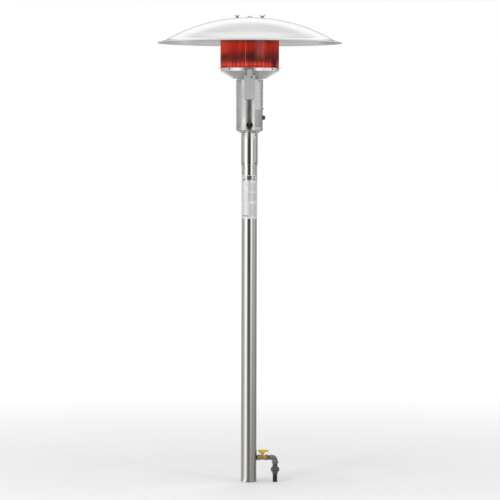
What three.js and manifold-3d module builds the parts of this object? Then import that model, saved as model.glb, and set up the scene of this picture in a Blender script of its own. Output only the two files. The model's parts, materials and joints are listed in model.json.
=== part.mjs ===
// A permanent gas patio heater: a polished post set in the ground, with a gas valve at its foot
// and, on its top, a control housing, a glowing cylindrical emitter and a domed reflector.
// Millimetres, +Z up. The origin is on the post's axis at ground level, and the front faces -Y.

import * as THREE from 'three';
import { mergeVertices } from 'three/addons/utils/BufferGeometryUtils.js';
import Module from 'manifold-3d';

const wasm = await Module();
wasm.setup();

// ---------------------------------------------------------------- driving dimensions

const GAP = 0.3; // clearance between pieces that touch
const SHEET = 1.2; // sheet metal of the reflector, the pan and the covers
const FINE = 48; // sides of the reflector
const ROUND = 36; // sides of the other large turned pieces
const SMALL = 14; // sides of fittings
const TINY = 8; // sides of screws and thin rods
const QUARTER = Math.PI / 2;

const POST = { radius: 36.5, wall: 3, top: 1645 };
const SLEEVE = { radius: 39.4, bore: 36.8, bottom: 1490, top: 1652 };
const SLEEVE_SCREWS = { heights: [1631, 1497], angles: [-45, 45] };
const LABEL = { bottom: 1239, top: 1415, halfAngle: 105, thickness: 0.4 };

const BASE = { bottom: 1638.5, corner: 1652.8, top: 1663.7, spigotTop: 1668 };
const HOUSING = { radius: 63.5, wall: 1.5, bottom: 1664, top: 1888 };
const HOUSING_SCREWS = { z: 1881, angles: [-45, 45, 135, 225] };
const VENT = { angle: -27.5, radius: 1.7, top: 1840, pitch: 11, count: 4 };
const PANEL = { from: 24, to: 156, lip: 4, bottom: 1668.4, top: 1748, lipTop: 1760 };
const PANEL_SCREW_Z = 1753;
const TOP_PLATE = { hole: 21.4, skirt: 16 };

const KNOB = { z: 1676.6, radius: 16.2, back: 69, disc: 8, bar: 9, front: 87.5 };
const SPINDLE = { radius: 6, bore: 3.8, inner: 24, outer: 66.5 };
const IGNITER = { z: 1711.5, barrel: 7, bezel: 11.2, button: 9.5, bezelFront: 67, front: 73.4 };

const COVER = { halfWidth: 25.8, front: 110, bottom: 1795, top: 1910 };
const NECK = { halfWidth: 11.5, lift: 10, top: 1937 };
const COVER_SCREW = { x: 9, z: 1897, head: 3.6, height: 2, length: 5 };
const WINDOW = { halfWidth: 17, bottom: 1800, top: 1868 };

const PAN = { bottom: 1892, waist: 78, rim: 138, cone: 1927.6, top: 1941.2, hole: 24 };
const PAN_SLOT = { halfWidth: 11, near: 86, far: 128 };
const PAN_SCREWS = { z: 1935.5, angles: [-43, 50, 75] };
const RING = { bottom: 1941.5, top: 1943.4, inner: 122, upstand: 1956 };
const EAR = { halfWidth: 10.5, reach: 152 };
const EMITTER = { radius: 137, wall: 1.2, bottom: 1943.8, top: 2144.6 };
const CAP = { radius: 138.8, top: 2147, skirt: 14 };
const BURNER = { mouth: 1800, throat: 1822, neck: 1880, head: 1961, top: 2041, radius: 60 };

const DOME = { apex: 2179.5, sphere: 778, crease: 394, rim: 432, brimDrop: 11.4, steps: 5 };
const STUD = { ring: 67.7, radius: 3, shoulder: 6.5, top: 2186.5, angles: [-60, 60, 180] };
const WING_TURNS = [50, 0, 44];
const WING_NUT = { base: 2177.5, hub: 6, hubHeight: 6.5, span: 13.8, height: 14, plate: 2 };

const PIPE = { radius: 10.67, bore: 7.9, socket: 11 };
const VALVE = { z: 115, from: 38.6, to: 91, hexAcross: 24.6, hexLength: 14, barrel: 11.4, port: 6.3 };
const STEM_X = 64.5;
const BALL = { radius: 8.6, cavity: 9.6 };
const STEM = { radius: 3.5, bottom: 7, top: 145.5 };
const HANDLE = { hubBottom: 130, plateBottom: 139, plateTop: 150, hub: 13, reach: 29, halfWidth: 6.5 };
const ELBOW = { x: 124, reach: 28.4, radius: 12.6, bend: 16 };
const ELBOW_MALE = { from: 78, shoulder: 101 };
const ELBOW_BAND = { radius: 15.3, length: 8, socketDepth: 11.5 };
const UNION = { thread: 14.2, cavity: 14.6, collar: 12.7, tail: 12.1, seat: 64.1, bottom: 36 };
const UNION_NUT = { radius: 21.4, end: 16.6, chamfer: 5, bottom: 49, lip: 52.6, top: 69 };
const SLOT = { halfWidth: 18, halfHeight: 28, z: 127 };

// ---------------------------------------------------------------- materials

const finish = (color, roughness, metalness) => ({ color, roughness, metalness });

const POLISHED = finish(0xd9dadb, 0.2, 1);
const BRIGHT_SHEET = finish(0xe9e9ea, 0.28, 1);
const HAMMERED = finish(0xb4b3b1, 0.42, 1);
const SATIN = finish(0x9d9d9f, 0.45, 1);
const GLOWING = finish(0xb3281c, 0.6, 0.3);
const BLACK_PLASTIC = finish(0x141415, 0.45, 0);
const RUBBER = finish(0x1d1a18, 0.85, 0);
const BRASS = finish(0xb59a63, 0.4, 1);
const YELLOW = finish(0xe0a80f, 0.5, 0);
const BLACK_IRON = finish(0x2a2a2b, 0.6, 0.7);
const MALLEABLE_IRON = finish(0x5b5956, 0.6, 0.7);
const LABEL_FOIL = finish(0xd5d6d6, 0.5, 0.4);
const CERAMIC = finish(0xe8e2d4, 0.4, 0);
const COPPER = finish(0xa9683f, 0.4, 1);

// ---------------------------------------------------------------- geometry helpers

const radians = (degrees) => (degrees * Math.PI) / 180;

/** Where an angle from the front (-Y), towards +X, meets a radius. */
const around = (degrees, radius) => [
  radius * Math.sin(radians(degrees)),
  -radius * Math.cos(radians(degrees)),
];

/** A turned piece about Z. The outline is anticlockwise in (radius, height). */
function turned(outline, sides) {
  const points = outline.map(([radius, height]) => new THREE.Vector2(radius, height));
  return new THREE.LatheGeometry(points, sides).rotateX(QUARTER);
}

/** A turned piece whose outline is a closed loop clear of the axis. */
const ring = (outline, sides) => turned([...outline, outline[0]], sides);

const tube = (radius, bore, bottom, top, sides) =>
  ring([[bore, bottom], [radius, bottom], [radius, top], [bore, top]], sides);

const rod = (radius, bottom, top, sides) =>
  turned([[0, bottom], [radius, bottom], [radius, top], [0, top]], sides);

/** A flat outline in X and Y, given a thickness in Z from bottom to top. */
function plate(shape, bottom, top, curveSegments = 6) {
  const options = { depth: top - bottom, bevelEnabled: false, curveSegments };
  return new THREE.ExtrudeGeometry(shape, options).translate(0, 0, bottom);
}

const outline = (points) => new THREE.Shape(points.map(([x, y]) => new THREE.Vector2(x, y)));

/** A block between two corners. */
function block(low, high) {
  const size = high.map((value, axis) => value - low[axis]);
  const middle = high.map((value, axis) => (value + low[axis]) / 2);
  return new THREE.BoxGeometry(...size).translate(...middle);
}

/** A wedge of space about Z, between two angles from the front. */
function wedge(from, to, radius, bottom, top) {
  const steps = 6;
  const rim = [];
  for (let step = 0; step <= steps; step += 1) {
    rim.push(around(from + ((to - from) * step) / steps, radius));
  }
  return plate(outline([[0, 0], ...rim]), bottom, top);
}

/** A geometry as a manifold solid. */
function toSolid(geometry) {
  const bare = geometry.clone();
  bare.deleteAttribute('normal');
  bare.deleteAttribute('uv');
  const merged = mergeVertices(bare, 1e-4);
  const corners = merged.index.array;
  const kept = [];
  for (let i = 0; i < corners.length; i += 3) {
    const [a, b, c] = [corners[i], corners[i + 1], corners[i + 2]];
    if (a !== b && b !== c && c !== a) {
      kept.push(a, b, c);
    }
  }
  const vertProperties = new Float32Array(merged.attributes.position.array);
  const triVerts = new Uint32Array(kept);
  return new wasm.Manifold(new wasm.Mesh({ numProp: 3, vertProperties, triVerts }));
}

function fromSolid(solid) {
  const mesh = solid.getMesh();
  const geometry = new THREE.BufferGeometry();
  const positions = new Float32Array(mesh.vertProperties);
  geometry.setAttribute('position', new THREE.BufferAttribute(positions, 3));
  geometry.setIndex(new THREE.BufferAttribute(new Uint32Array(mesh.triVerts), 1));
  geometry.computeVertexNormals();
  return geometry;
}

const join = (first, ...rest) =>
  fromSolid(rest.reduce((solid, next) => solid.add(toSolid(next)), toSolid(first)));

const cut = (first, ...rest) =>
  fromSolid(rest.reduce((solid, next) => solid.subtract(toSolid(next)), toSolid(first)));

const common = (first, second) => fromSolid(toSolid(first).intersect(toSolid(second)));

/** A radial cylinder at an angle from the front, reaching from one radius to another. */
function radialRod(radius, degrees, z, from, to, sides = TINY) {
  const pin = rod(radius, from, to, sides).rotateX(QUARTER);
  return pin.rotateZ(radians(degrees)).translate(0, 0, z);
}

/** A route through listed stations, with one step of an extrusion to each. */
class Route extends THREE.Curve {
  constructor(stations) {
    super();
    this.stations = stations;
  }

  getPointAt(u) {
    const place = Math.round(u * (this.stations.length - 1));
    return this.stations[place].clone();
  }

  getPoint(t) {
    return this.getPointAt(t);
  }

  getTangentAt(u) {
    const last = this.stations.length - 1;
    const place = Math.round(u * last);
    const tangent = new THREE.Vector3();
    for (const index of [place - 1, place]) {
      if (index >= 0 && index < last) {
        tangent.add(this.stations[index + 1].clone().sub(this.stations[index]).normalize());
      }
    }
    return tangent.normalize();
  }
}

/** Stations along straight runs between corners, each corner rounded to a bend radius. */
function stationsThrough(corners, bendRadius, bendSteps = 4) {
  const points = corners.map((corner) => new THREE.Vector3(...corner));
  const stations = [points[0]];
  for (let index = 1; index < points.length - 1; index += 1) {
    const back = points[index - 1].clone().sub(points[index]).normalize();
    const ahead = points[index + 1].clone().sub(points[index]).normalize();
    const half = back.angleTo(ahead) / 2;
    const start = points[index].clone().addScaledVector(back, bendRadius / Math.tan(half));
    const towards = back.clone().add(ahead).normalize();
    const centre = points[index].clone().addScaledVector(towards, bendRadius / Math.sin(half));
    const axis = ahead.clone().cross(back).normalize();
    const arm = start.clone().sub(centre);
    for (let step = 0; step <= bendSteps; step += 1) {
      const turn = ((Math.PI - 2 * half) * step) / bendSteps;
      stations.push(centre.clone().add(arm.clone().applyAxisAngle(axis, turn)));
    }
  }
  stations.push(points.at(-1));
  return stations;
}

/** A pipe or rod along a route with rounded corners; a bore of 0 makes it solid. */
function bentPipe(corners, bendRadius, radius, bore, sides) {
  const circle = (size, turn) => {
    const points = [];
    for (let side = 0; side < sides; side += 1) {
      const angle = (turn * 2 * Math.PI * side) / sides;
      points.push(new THREE.Vector2(size * Math.cos(angle), size * Math.sin(angle)));
    }
    return points;
  };
  const section = new THREE.Shape(circle(radius, 1));
  if (bore > 0) {
    section.holes.push(new THREE.Path(circle(bore, -1)));
  }
  const stations = stationsThrough(corners, bendRadius);
  const options = { steps: stations.length - 1, bevelEnabled: false };
  return new THREE.ExtrudeGeometry(section, { ...options, extrudePath: new Route(stations) });
}

/** A prism with flat sides about Z, measured corner to corner. */
const prism = (cornerRadius, bottom, top, sides) =>
  rod(cornerRadius, bottom, top, sides).rotateZ(Math.PI / sides);

const hexCorner = (across) => across / Math.sqrt(3);

// ---------------------------------------------------------------- assembly

const heater = new THREE.Group();

/** Adds one named piece to the heater, and gives its mesh back for placing. */
function piece(name, geometry, look) {
  const mesh = new THREE.Mesh(geometry, new THREE.MeshStandardMaterial(look));
  mesh.name = name;
  heater.add(mesh);
  return mesh;
}

/** A pan-head screw along +Z: the underside of its head is at z = 0, its shank below. */
function screwShape(headRadius, headHeight, shankRadius, shankLength) {
  return turned([
    [0, -shankLength],
    [shankRadius, -shankLength],
    [shankRadius, 0],
    [headRadius, 0],
    [headRadius * 0.75, headHeight],
    [0, headHeight],
  ], TINY);
}

/** Sets a screw into a round wall: its head just off a radius, at an angle from the front. */
function radialScrew(name, degrees, radius, z, size) {
  const shape = screwShape(size.head, size.height, size.shank, size.length);
  const mesh = piece(name, shape, SATIN);
  const [x, y] = around(degrees, radius + GAP);
  mesh.rotation.set(QUARTER, 0, radians(degrees), 'ZYX');
  mesh.position.set(x, y, z);
}

const SCREW = { head: 4, height: 2.4, shank: 1.9, length: 8 };
const SCREW_HOLE = SCREW.shank + GAP;

// ---------------------------------------------------------------- reflector

const domeHeight = (radius) =>
  DOME.apex - DOME.sphere + Math.sqrt(DOME.sphere ** 2 - radius ** 2);

/** The domed reflector with its flared brim and turned edge, drilled for three studs. */
function reflector() {
  const top = [];
  for (let step = 0; step <= DOME.steps; step += 1) {
    const radius = (DOME.crease * step) / DOME.steps;
    top.push([radius, domeHeight(radius)]);
  }
  const under = top.map(([radius, height]) => [radius, height - SHEET]);
  const brim = domeHeight(DOME.crease) - DOME.brimDrop;
  const edge = [
    [DOME.rim - 3, brim - SHEET],
    [DOME.rim - 1.2, brim - 2.6],
    [DOME.rim, brim - 1],
    [DOME.rim - 1.4, brim + 0.6],
  ];
  const shell = turned([...under, ...edge, ...top.reverse()], FINE);
  const holes = STUD.angles.map((angle) => {
    const [x, y] = around(angle, STUD.ring);
    return rod(STUD.radius + GAP, DOME.apex - 20, DOME.apex + 20, TINY).translate(x, y, 0);
  });
  return cut(shell, ...holes);
}

/** One wing nut about Z with its foot at z = 0, its two wings rising along X. */
function wingNut() {
  const hub = turned([
    [0, 0],
    [WING_NUT.hub, 0],
    [WING_NUT.hub - 1.4, WING_NUT.hubHeight],
    [0, WING_NUT.hubHeight],
  ], TINY);
  const wing = new THREE.Shape();
  wing.moveTo(2.5, 1.2);
  wing.lineTo(5.4, 1.2);
  wing.quadraticCurveTo(9.6, 4, WING_NUT.span, 11.6);
  wing.quadraticCurveTo(WING_NUT.span - 0.6, WING_NUT.height + 0.4, 10.6, WING_NUT.height - 1.2);
  wing.quadraticCurveTo(7.4, 8, 2.5, WING_NUT.hubHeight - 0.3);
  const right = plate(wing, -WING_NUT.plate / 2, WING_NUT.plate / 2, 2).rotateX(QUARTER);
  const left = right.clone().rotateZ(Math.PI);
  const bore = rod(STUD.radius + GAP, -1, WING_NUT.hubHeight + 1, TINY);
  return cut(join(hub, right, left), bore);
}

/** A stud from the emitter cap: a shoulder that carries the reflector, and a thread each end. */
function studShape() {
  const shoulderTop = domeHeight(STUD.ring + STUD.shoulder) - SHEET - GAP;
  return turned([
    [0, CAP.top - 9],
    [STUD.radius, CAP.top - 9],
    [STUD.radius, CAP.top + GAP],
    [STUD.shoulder, CAP.top + GAP],
    [STUD.shoulder, shoulderTop],
    [STUD.radius, shoulderTop],
    [STUD.radius, STUD.top],
    [0, STUD.top],
  ], TINY);
}

function addReflector() {
  piece('reflector', reflector(), BRIGHT_SHEET);
  STUD.angles.forEach((angle, index) => {
    const [x, y] = around(angle, STUD.ring);
    piece(`reflector_stud_${index + 1}`, studShape(), SATIN).position.set(x, y, 0);
    const nut = piece(`reflector_wing_nut_${index + 1}`, wingNut(), SATIN);
    nut.position.set(x, y, WING_NUT.base);
    nut.rotation.z = radians(WING_TURNS[index]);
  });
}

// ---------------------------------------------------------------- emitter and burner

/** The flat lid of the emitter, with a rim that laps the screen. */
function emitterCap() {
  const inner = EMITTER.radius + GAP;
  const lid = turned([
    [0, CAP.top - 1.8],
    [inner, CAP.top - 1.8],
    [inner, CAP.top - CAP.skirt],
    [CAP.radius, CAP.top - CAP.skirt],
    [CAP.radius, CAP.top],
    [0, CAP.top],
  ], ROUND);
  const holes = STUD.angles.map((angle) => {
    const [x, y] = around(angle, STUD.ring);
    return rod(STUD.radius + GAP, CAP.top - 5, CAP.top + 5, TINY).translate(x, y, 0);
  });
  return cut(lid, ...holes);
}

/** The ring on the pan that locates the screen, with four ears beyond the rim. */
function emitterBaseRing() {
  const screenBore = EMITTER.radius - EMITTER.wall - GAP;
  const flat = ring([
    [RING.inner, RING.bottom],
    [PAN.rim, RING.bottom],
    [PAN.rim, RING.top],
    [screenBore, RING.top],
    [screenBore, RING.upstand],
    [screenBore - SHEET, RING.upstand],
    [screenBore - SHEET, RING.top],
    [RING.inner, RING.top],
  ], ROUND);
  const ears = [0, 90, 180, 270].map((angle) => {
    const inside = PAN.rim - 6;
    const ear = outline([
      [inside, -EAR.halfWidth],
      [EAR.reach - 4, -EAR.halfWidth],
      [EAR.reach, 4 - EAR.halfWidth],
      [EAR.reach, EAR.halfWidth - 4],
      [EAR.reach - 4, EAR.halfWidth],
      [inside, EAR.halfWidth],
    ]);
    return plate(ear, RING.bottom, RING.top).rotateZ(radians(angle));
  });
  return join(flat, ...ears);
}

/** The burner pan: a flat floor, a cone and an upright band, slotted for the pilot leads. */
function burnerPan() {
  const rise = SHEET / Math.cos(Math.atan2(PAN.cone - PAN.bottom, PAN.rim - PAN.waist));
  const shell = ring([
    [PAN.hole, PAN.bottom],
    [PAN.waist, PAN.bottom],
    [PAN.rim, PAN.cone],
    [PAN.rim, PAN.top],
    [PAN.rim - SHEET, PAN.top],
    [PAN.rim - SHEET, PAN.cone + rise - 0.7],
    [PAN.waist - 0.4, PAN.bottom + SHEET],
    [PAN.hole, PAN.bottom + SHEET],
  ], ROUND);
  const slot = block(
    [-PAN_SLOT.halfWidth, -PAN_SLOT.far, PAN.bottom - 5],
    [PAN_SLOT.halfWidth, -PAN_SLOT.near, PAN.cone],
  );
  const holes = PAN_SCREWS.angles.map((angle) =>
    radialRod(SCREW_HOLE, angle, PAN_SCREWS.z, PAN.rim - 5, PAN.rim + 5, 8));
  return cut(shell, slot, ...holes);
}

/** The burner: a venturi that opens upward into a round ported head, one thin wall throughout. */
function burnerTube() {
  const wall = 1.5;
  const outside = [
    [21.5, BURNER.mouth],
    [12, BURNER.throat],
    [12, BURNER.throat + 18],
    [21, BURNER.neck],
    [21, BURNER.head - 11],
    [BURNER.radius, BURNER.head],
    [BURNER.radius, BURNER.top - 1],
    [0, BURNER.top],
  ];
  const inside = [
    [0, BURNER.top - wall],
    [BURNER.radius - wall, BURNER.top - 1 - wall],
    [BURNER.radius - wall, BURNER.head + 1],
    [21 - wall, BURNER.head - 10],
    [21 - wall, BURNER.neck],
    [12 - wall, BURNER.throat + 18],
    [12 - wall, BURNER.throat],
    [21.5 - wall, BURNER.mouth],
  ];
  return turned([...inside, ...outside], 20);
}

function addEmitter() {
  piece('emitter_cap', emitterCap(), SATIN);
  const screenBore = EMITTER.radius - EMITTER.wall;
  const screen = tube(EMITTER.radius, screenBore, EMITTER.bottom, EMITTER.top, ROUND);
  piece('emitter_screen', screen, GLOWING);
  piece('emitter_base_ring', emitterBaseRing(), SATIN);
  piece('burner_pan', burnerPan(), SATIN);
  PAN_SCREWS.angles.forEach((angle, index) => {
    radialScrew(`pan_screw_${index + 1}`, angle, PAN.rim, PAN_SCREWS.z, { ...SCREW, length: 6 });
  });
  piece('burner_tube', burnerTube(), SATIN);
}

// ---------------------------------------------------------------- gas control and ignition

const VALVE_BLOCK = { halfWidth: 22, front: -32, back: 10, bottom: 1663, top: 1712 };
const INLET_X = -14;
const LEADS = { pilot: 0, thermocouple: 9, electrode: -9 };
const PILOT_Y = -100;

/** The control valve block, with its spindle boss, its gas inlet and its outlets. */
function gasControlValve() {
  const body = block(
    [-VALVE_BLOCK.halfWidth, VALVE_BLOCK.front, VALVE_BLOCK.bottom],
    [VALVE_BLOCK.halfWidth, VALVE_BLOCK.back, VALVE_BLOCK.top],
  );
  const boss = rod(11, 25, 54, SMALL).rotateX(QUARTER).translate(0, 0, KNOB.z);
  const outlet = rod(8, VALVE_BLOCK.top - 2, VALVE_BLOCK.top + 8, SMALL);
  const spindleBore = rod(SPINDLE.radius + GAP, SPINDLE.inner - 1, 60, SMALL)
    .rotateX(QUARTER)
    .translate(0, 0, KNOB.z);
  const inletBore = rod(PIPE.bore, VALVE_BLOCK.bottom - 5, VALVE_BLOCK.bottom + 9, SMALL)
    .translate(INLET_X, 0, 0);
  const outletBore = rod(5.3, VALVE_BLOCK.top - 6, VALVE_BLOCK.top + 10, SMALL);
  return cut(join(body, boss, outlet), spindleBore, inletBore, outletBore);
}

/** The corners of a thin lead from the valve block up through the cover to the pilot. */
const leadCorners = (x, end) => [
  [x, -24, VALVE_BLOCK.top + GAP],
  [x, -24, 1790],
  [x, PILOT_Y, 1862],
  [x, PILOT_Y, end],
];

/** The spark electrode: a lead from the igniter, a ceramic sleeve and a bare tip. */
function sparkElectrode() {
  const lead = bentPipe(leadCorners(LEADS.electrode, 1949), 20, 1.6, 0, 6);
  const sleeve = rod(3.4, 1944, 1972, TINY).translate(LEADS.electrode, PILOT_Y, 0);
  const tip = rod(1.1, 1970, 1984, TINY).translate(LEADS.electrode, PILOT_Y, 0);
  return join(lead, sleeve, tip);
}

/** The thermocouple: its lead and, in the pilot flame, its thicker sensing tip. */
function thermocouple() {
  const lead = bentPipe(leadCorners(LEADS.thermocouple, 1949), 20, 1.6, 0, 6);
  const tip = turned([[0, 1945], [3, 1945], [3, 1976], [1.6, 1979], [0, 1979]], TINY)
    .translate(LEADS.thermocouple, PILOT_Y, 0);
  return join(lead, tip);
}

/** The pilot burner: a hexagonal foot and an open-topped hood. */
function pilotBurner() {
  const foot = prism(5.2, 1946, 1954, 6);
  const hood = rod(4.2, 1953, 1970, TINY);
  const bore = rod(2.6, 1944, 1975, TINY);
  return cut(join(foot, hood), bore).translate(LEADS.pilot, PILOT_Y, 0);
}

/** The orifice fitting: a hexagon with a spud that points into the burner's mouth. */
function orificeFitting() {
  const body = join(
    prism(hexCorner(16), 1778, 1790, 6),
    turned([[0, 1789], [6, 1789], [4, 1804], [0, 1804]], SMALL),
  );
  return cut(body, rod(5.3, 1770, 1784, SMALL), rod(1.2, 1780, 1810, TINY));
}

/** The piezo igniter's fixed part: a barrel behind the side panel and a bezel in front of it. */
function igniterBody() {
  const panelFace = HOUSING.radius - HOUSING.wall - GAP;
  return ring([
    [4.9, 30],
    [IGNITER.barrel, 30],
    [IGNITER.barrel, panelFace + GAP],
    [IGNITER.bezel, panelFace + GAP],
    [IGNITER.bezel, IGNITER.bezelFront],
    [IGNITER.button + GAP, IGNITER.bezelFront],
    [IGNITER.button + GAP, IGNITER.bezelFront - 4],
    [4.9, IGNITER.bezelFront - 4],
  ], SMALL).rotateY(QUARTER).translate(0, 0, IGNITER.z);
}

function igniterButton() {
  return turned([
    [0, 40],
    [4.5, 40],
    [4.5, IGNITER.front - 6],
    [IGNITER.button, IGNITER.front - 6],
    [IGNITER.button, IGNITER.front - 1.6],
    [IGNITER.button - 1.6, IGNITER.front],
    [0, IGNITER.front],
  ], SMALL).rotateY(QUARTER).translate(0, 0, IGNITER.z);
}

/** The knob about Z, its back at z = 0: a disc with a grip bar across it. */
function controlKnob() {
  const disc = turned([
    [0, 0],
    [KNOB.radius, 0],
    [KNOB.radius, KNOB.disc - 1.5],
    [KNOB.radius - 1.5, KNOB.disc],
    [0, KNOB.disc],
  ], 24);
  const grip = new THREE.Shape();
  const halfBar = KNOB.bar / 2;
  const end = KNOB.radius - halfBar - 0.6;
  grip.absarc(0, end, halfBar, 0, Math.PI);
  grip.absarc(0, -end, halfBar, Math.PI, 2 * Math.PI);
  const bar = plate(grip, KNOB.disc - 1, KNOB.front - KNOB.back, 4);
  const recess = rod(SPINDLE.radius + 1, -1, 5, SMALL);
  const bore = rod(SPINDLE.bore, -1, 13, TINY);
  return cut(join(disc, bar), recess, bore);
}

function addControls() {
  piece('gas_control_valve', gasControlValve(), SATIN);
  const outletTop = 1783.5;
  piece('gas_outlet_tube', tube(5, 3.8, VALVE_BLOCK.top - 5, outletTop, SMALL), COPPER);
  piece('orifice_fitting', orificeFitting(), BRASS);
  const pilotCorners = leadCorners(LEADS.pilot, 1952);
  piece('pilot_tube', bentPipe(pilotCorners, 20, 2.3, 1.2, 6), COPPER);
  piece('pilot_burner', pilotBurner(), BRASS);
  piece('thermocouple', thermocouple(), COPPER);
  piece('spark_electrode', sparkElectrode(), CERAMIC);
  piece('igniter_body', igniterBody(), BLACK_PLASTIC);
  piece('igniter_button', igniterButton(), BLACK_PLASTIC);
  const spindle = tube(SPINDLE.radius, SPINDLE.bore, SPINDLE.inner, SPINDLE.outer, SMALL)
    .rotateX(QUARTER);
  piece('valve_spindle', spindle, SATIN).position.z = KNOB.z;
  const stem = rod(SPINDLE.bore - GAP, 30, KNOB.back + 12.5, TINY).rotateX(QUARTER);
  piece('knob_stem', stem, SATIN).position.z = KNOB.z;
  const knob = piece('control_knob', controlKnob(), BLACK_PLASTIC);
  knob.rotation.x = QUARTER;
  knob.position.set(0, -KNOB.back, KNOB.z);
}

// ---------------------------------------------------------------- housing

const screwHoles = (angles, z, from, to) =>
  angles.map((angle) => radialRod(SCREW_HOLE, angle, z, from, to, 8));

/** The upright housing: vents, a window for the side panel and the holes that serve the front. */
function controlHousing() {
  const shell = tube(HOUSING.radius, HOUSING.radius - HOUSING.wall, HOUSING.bottom, HOUSING.top, ROUND);
  const near = HOUSING.radius - 10;
  const far = HOUSING.radius + 10;
  const panelWindow = wedge(PANEL.from, PANEL.to, 90, HOUSING.bottom - 5, PANEL.top);
  const pilotWindow = block(
    [-WINDOW.halfWidth, -far, WINDOW.bottom],
    [WINDOW.halfWidth, -near + 8, WINDOW.top],
  );
  const spindleHole = radialRod(SPINDLE.radius + GAP, 0, KNOB.z, near, far, SMALL);
  const panelScrewHole = radialRod(SCREW_HOLE, 90, PANEL_SCREW_Z, near, far, 8);
  const vents = [];
  for (let index = 0; index < VENT.count; index += 1) {
    vents.push(radialRod(VENT.radius, VENT.angle, VENT.top - VENT.pitch * index, near, far, 8));
  }
  const topHoles = screwHoles(HOUSING_SCREWS.angles, HOUSING_SCREWS.z, near, far);
  return cut(shell, panelWindow, pilotWindow, spindleHole, panelScrewHole, ...vents, ...topHoles);
}

/** The curved cover behind the window, with a lip all round and a hole for the igniter. */
function sidePanel() {
  const radius = HOUSING.radius - HOUSING.wall - GAP;
  const { from, to, lip, bottom, lipTop } = PANEL;
  const sheet = tube(radius, radius - SHEET, bottom, lipTop, ROUND);
  const sector = wedge(from - lip, to + lip, 90, bottom - 5, lipTop + 5);
  const panel = common(sheet, sector);
  const igniterHole = radialRod(IGNITER.barrel + GAP, 90, IGNITER.z, 50, 70, SMALL);
  const screwHole = radialRod(SCREW_HOLE, 90, PANEL_SCREW_Z, 50, 70, 8);
  return cut(panel, igniterHole, screwHole);
}

/** The base: a collar flush with the housing, a spigot inside it and a taper to the sleeve. */
function housingBase() {
  const spigot = HOUSING.radius - HOUSING.wall - GAP;
  const neck = SLEEVE.radius + GAP;
  return ring([
    [neck, BASE.bottom],
    [HOUSING.radius, BASE.corner],
    [HOUSING.radius, BASE.top],
    [spigot, BASE.top],
    [spigot, BASE.spigotTop],
    [spigot - SHEET, BASE.spigotTop],
    [spigot - SHEET, BASE.corner + SHEET],
    [neck, BASE.bottom + SHEET + 0.4],
  ], ROUND);
}

/** The top plate under the burner pan, with a skirt that the housing is screwed to. */
function housingTopPlate() {
  const radius = HOUSING.radius - HOUSING.wall - GAP;
  const shell = ring([
    [TOP_PLATE.hole, HOUSING.top],
    [radius - SHEET, HOUSING.top],
    [radius - SHEET, HOUSING.top - TOP_PLATE.skirt],
    [radius, HOUSING.top - TOP_PLATE.skirt],
    [radius, HOUSING.top + 1.5],
    [TOP_PLATE.hole, HOUSING.top + 1.5],
  ], ROUND);
  return cut(shell, ...screwHoles(HOUSING_SCREWS.angles, HOUSING_SCREWS.z, 50, 80));
}

/** The box in front that guards the pilot leads, open behind and below. */
function pilotCover() {
  const coneClear = (y) => PAN.bottom + ((y - PAN.waist) * (PAN.cone - PAN.bottom)) / (PAN.rim - PAN.waist);
  const inset = Math.sqrt((HOUSING.radius + GAP) ** 2 - COVER.halfWidth ** 2) - 0.2;
  const waist = PAN.waist - 3;
  const side = outline([
    [COVER.front, COVER.bottom],
    [COVER.front, COVER.top],
    [COVER.front - 6, coneClear(COVER.front - 6) - 2],
    [waist + 2, PAN.bottom - 1],
    [HOUSING.radius + 2, PAN.bottom - 1],
    [inset, PAN.bottom - 1],
    [inset, COVER.bottom],
  ]);
  const body = plate(side, -COVER.halfWidth, COVER.halfWidth)
    .rotateX(QUARTER)
    .rotateZ(-QUARTER);
  const inner = COVER.halfWidth - SHEET;
  const hollow = block([-inner, -COVER.front + SHEET, COVER.bottom - 5], [inner, 0, COVER.top + 20]);
  const clearance = rod(HOUSING.radius + GAP, COVER.bottom - 5, PAN.bottom + 20, ROUND);
  const screwHole = radialRod(SCREW_HOLE, 0, COVER_SCREW.z, COVER.front - 5, COVER.front + 5, 8);
  return cut(body, hollow, clearance, screwHole.translate(COVER_SCREW.x, 0, 0));
}

/** The sloping channel that carries the cover on, under the cone, to the pan's band. */
function pilotCoverNeck() {
  const slope = (PAN.cone - PAN.bottom) / (PAN.rim - PAN.waist);
  const start = COVER.front + 1;
  const cone = (y) => PAN.bottom + (y - PAN.waist) * slope;
  const side = outline([
    [start, cone(start) - NECK.lift],
    [PAN.rim + 4, cone(PAN.rim + 4) - NECK.lift + 1],
    [PAN.rim + 4, NECK.top],
    [PAN.rim + 1.6, NECK.top],
    [PAN.rim + 1.6, PAN.cone - 1.6],
    [start, cone(start) - 2],
  ]);
  const body = plate(side, -NECK.halfWidth, NECK.halfWidth)
    .rotateX(QUARTER)
    .rotateZ(-QUARTER);
  const inner = NECK.halfWidth - SHEET;
  const trough = outline([
    [start - 5, cone(start - 5) - NECK.lift + SHEET + 0.4],
    [PAN.rim + 1, cone(PAN.rim + 1) - NECK.lift + SHEET + 1.4],
    [PAN.rim + 1, PAN.cone + 5],
    [start - 5, PAN.cone + 5],
  ]);
  const hollow = plate(trough, -inner, inner).rotateX(QUARTER).rotateZ(-QUARTER);
  return cut(body, hollow);
}

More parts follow.
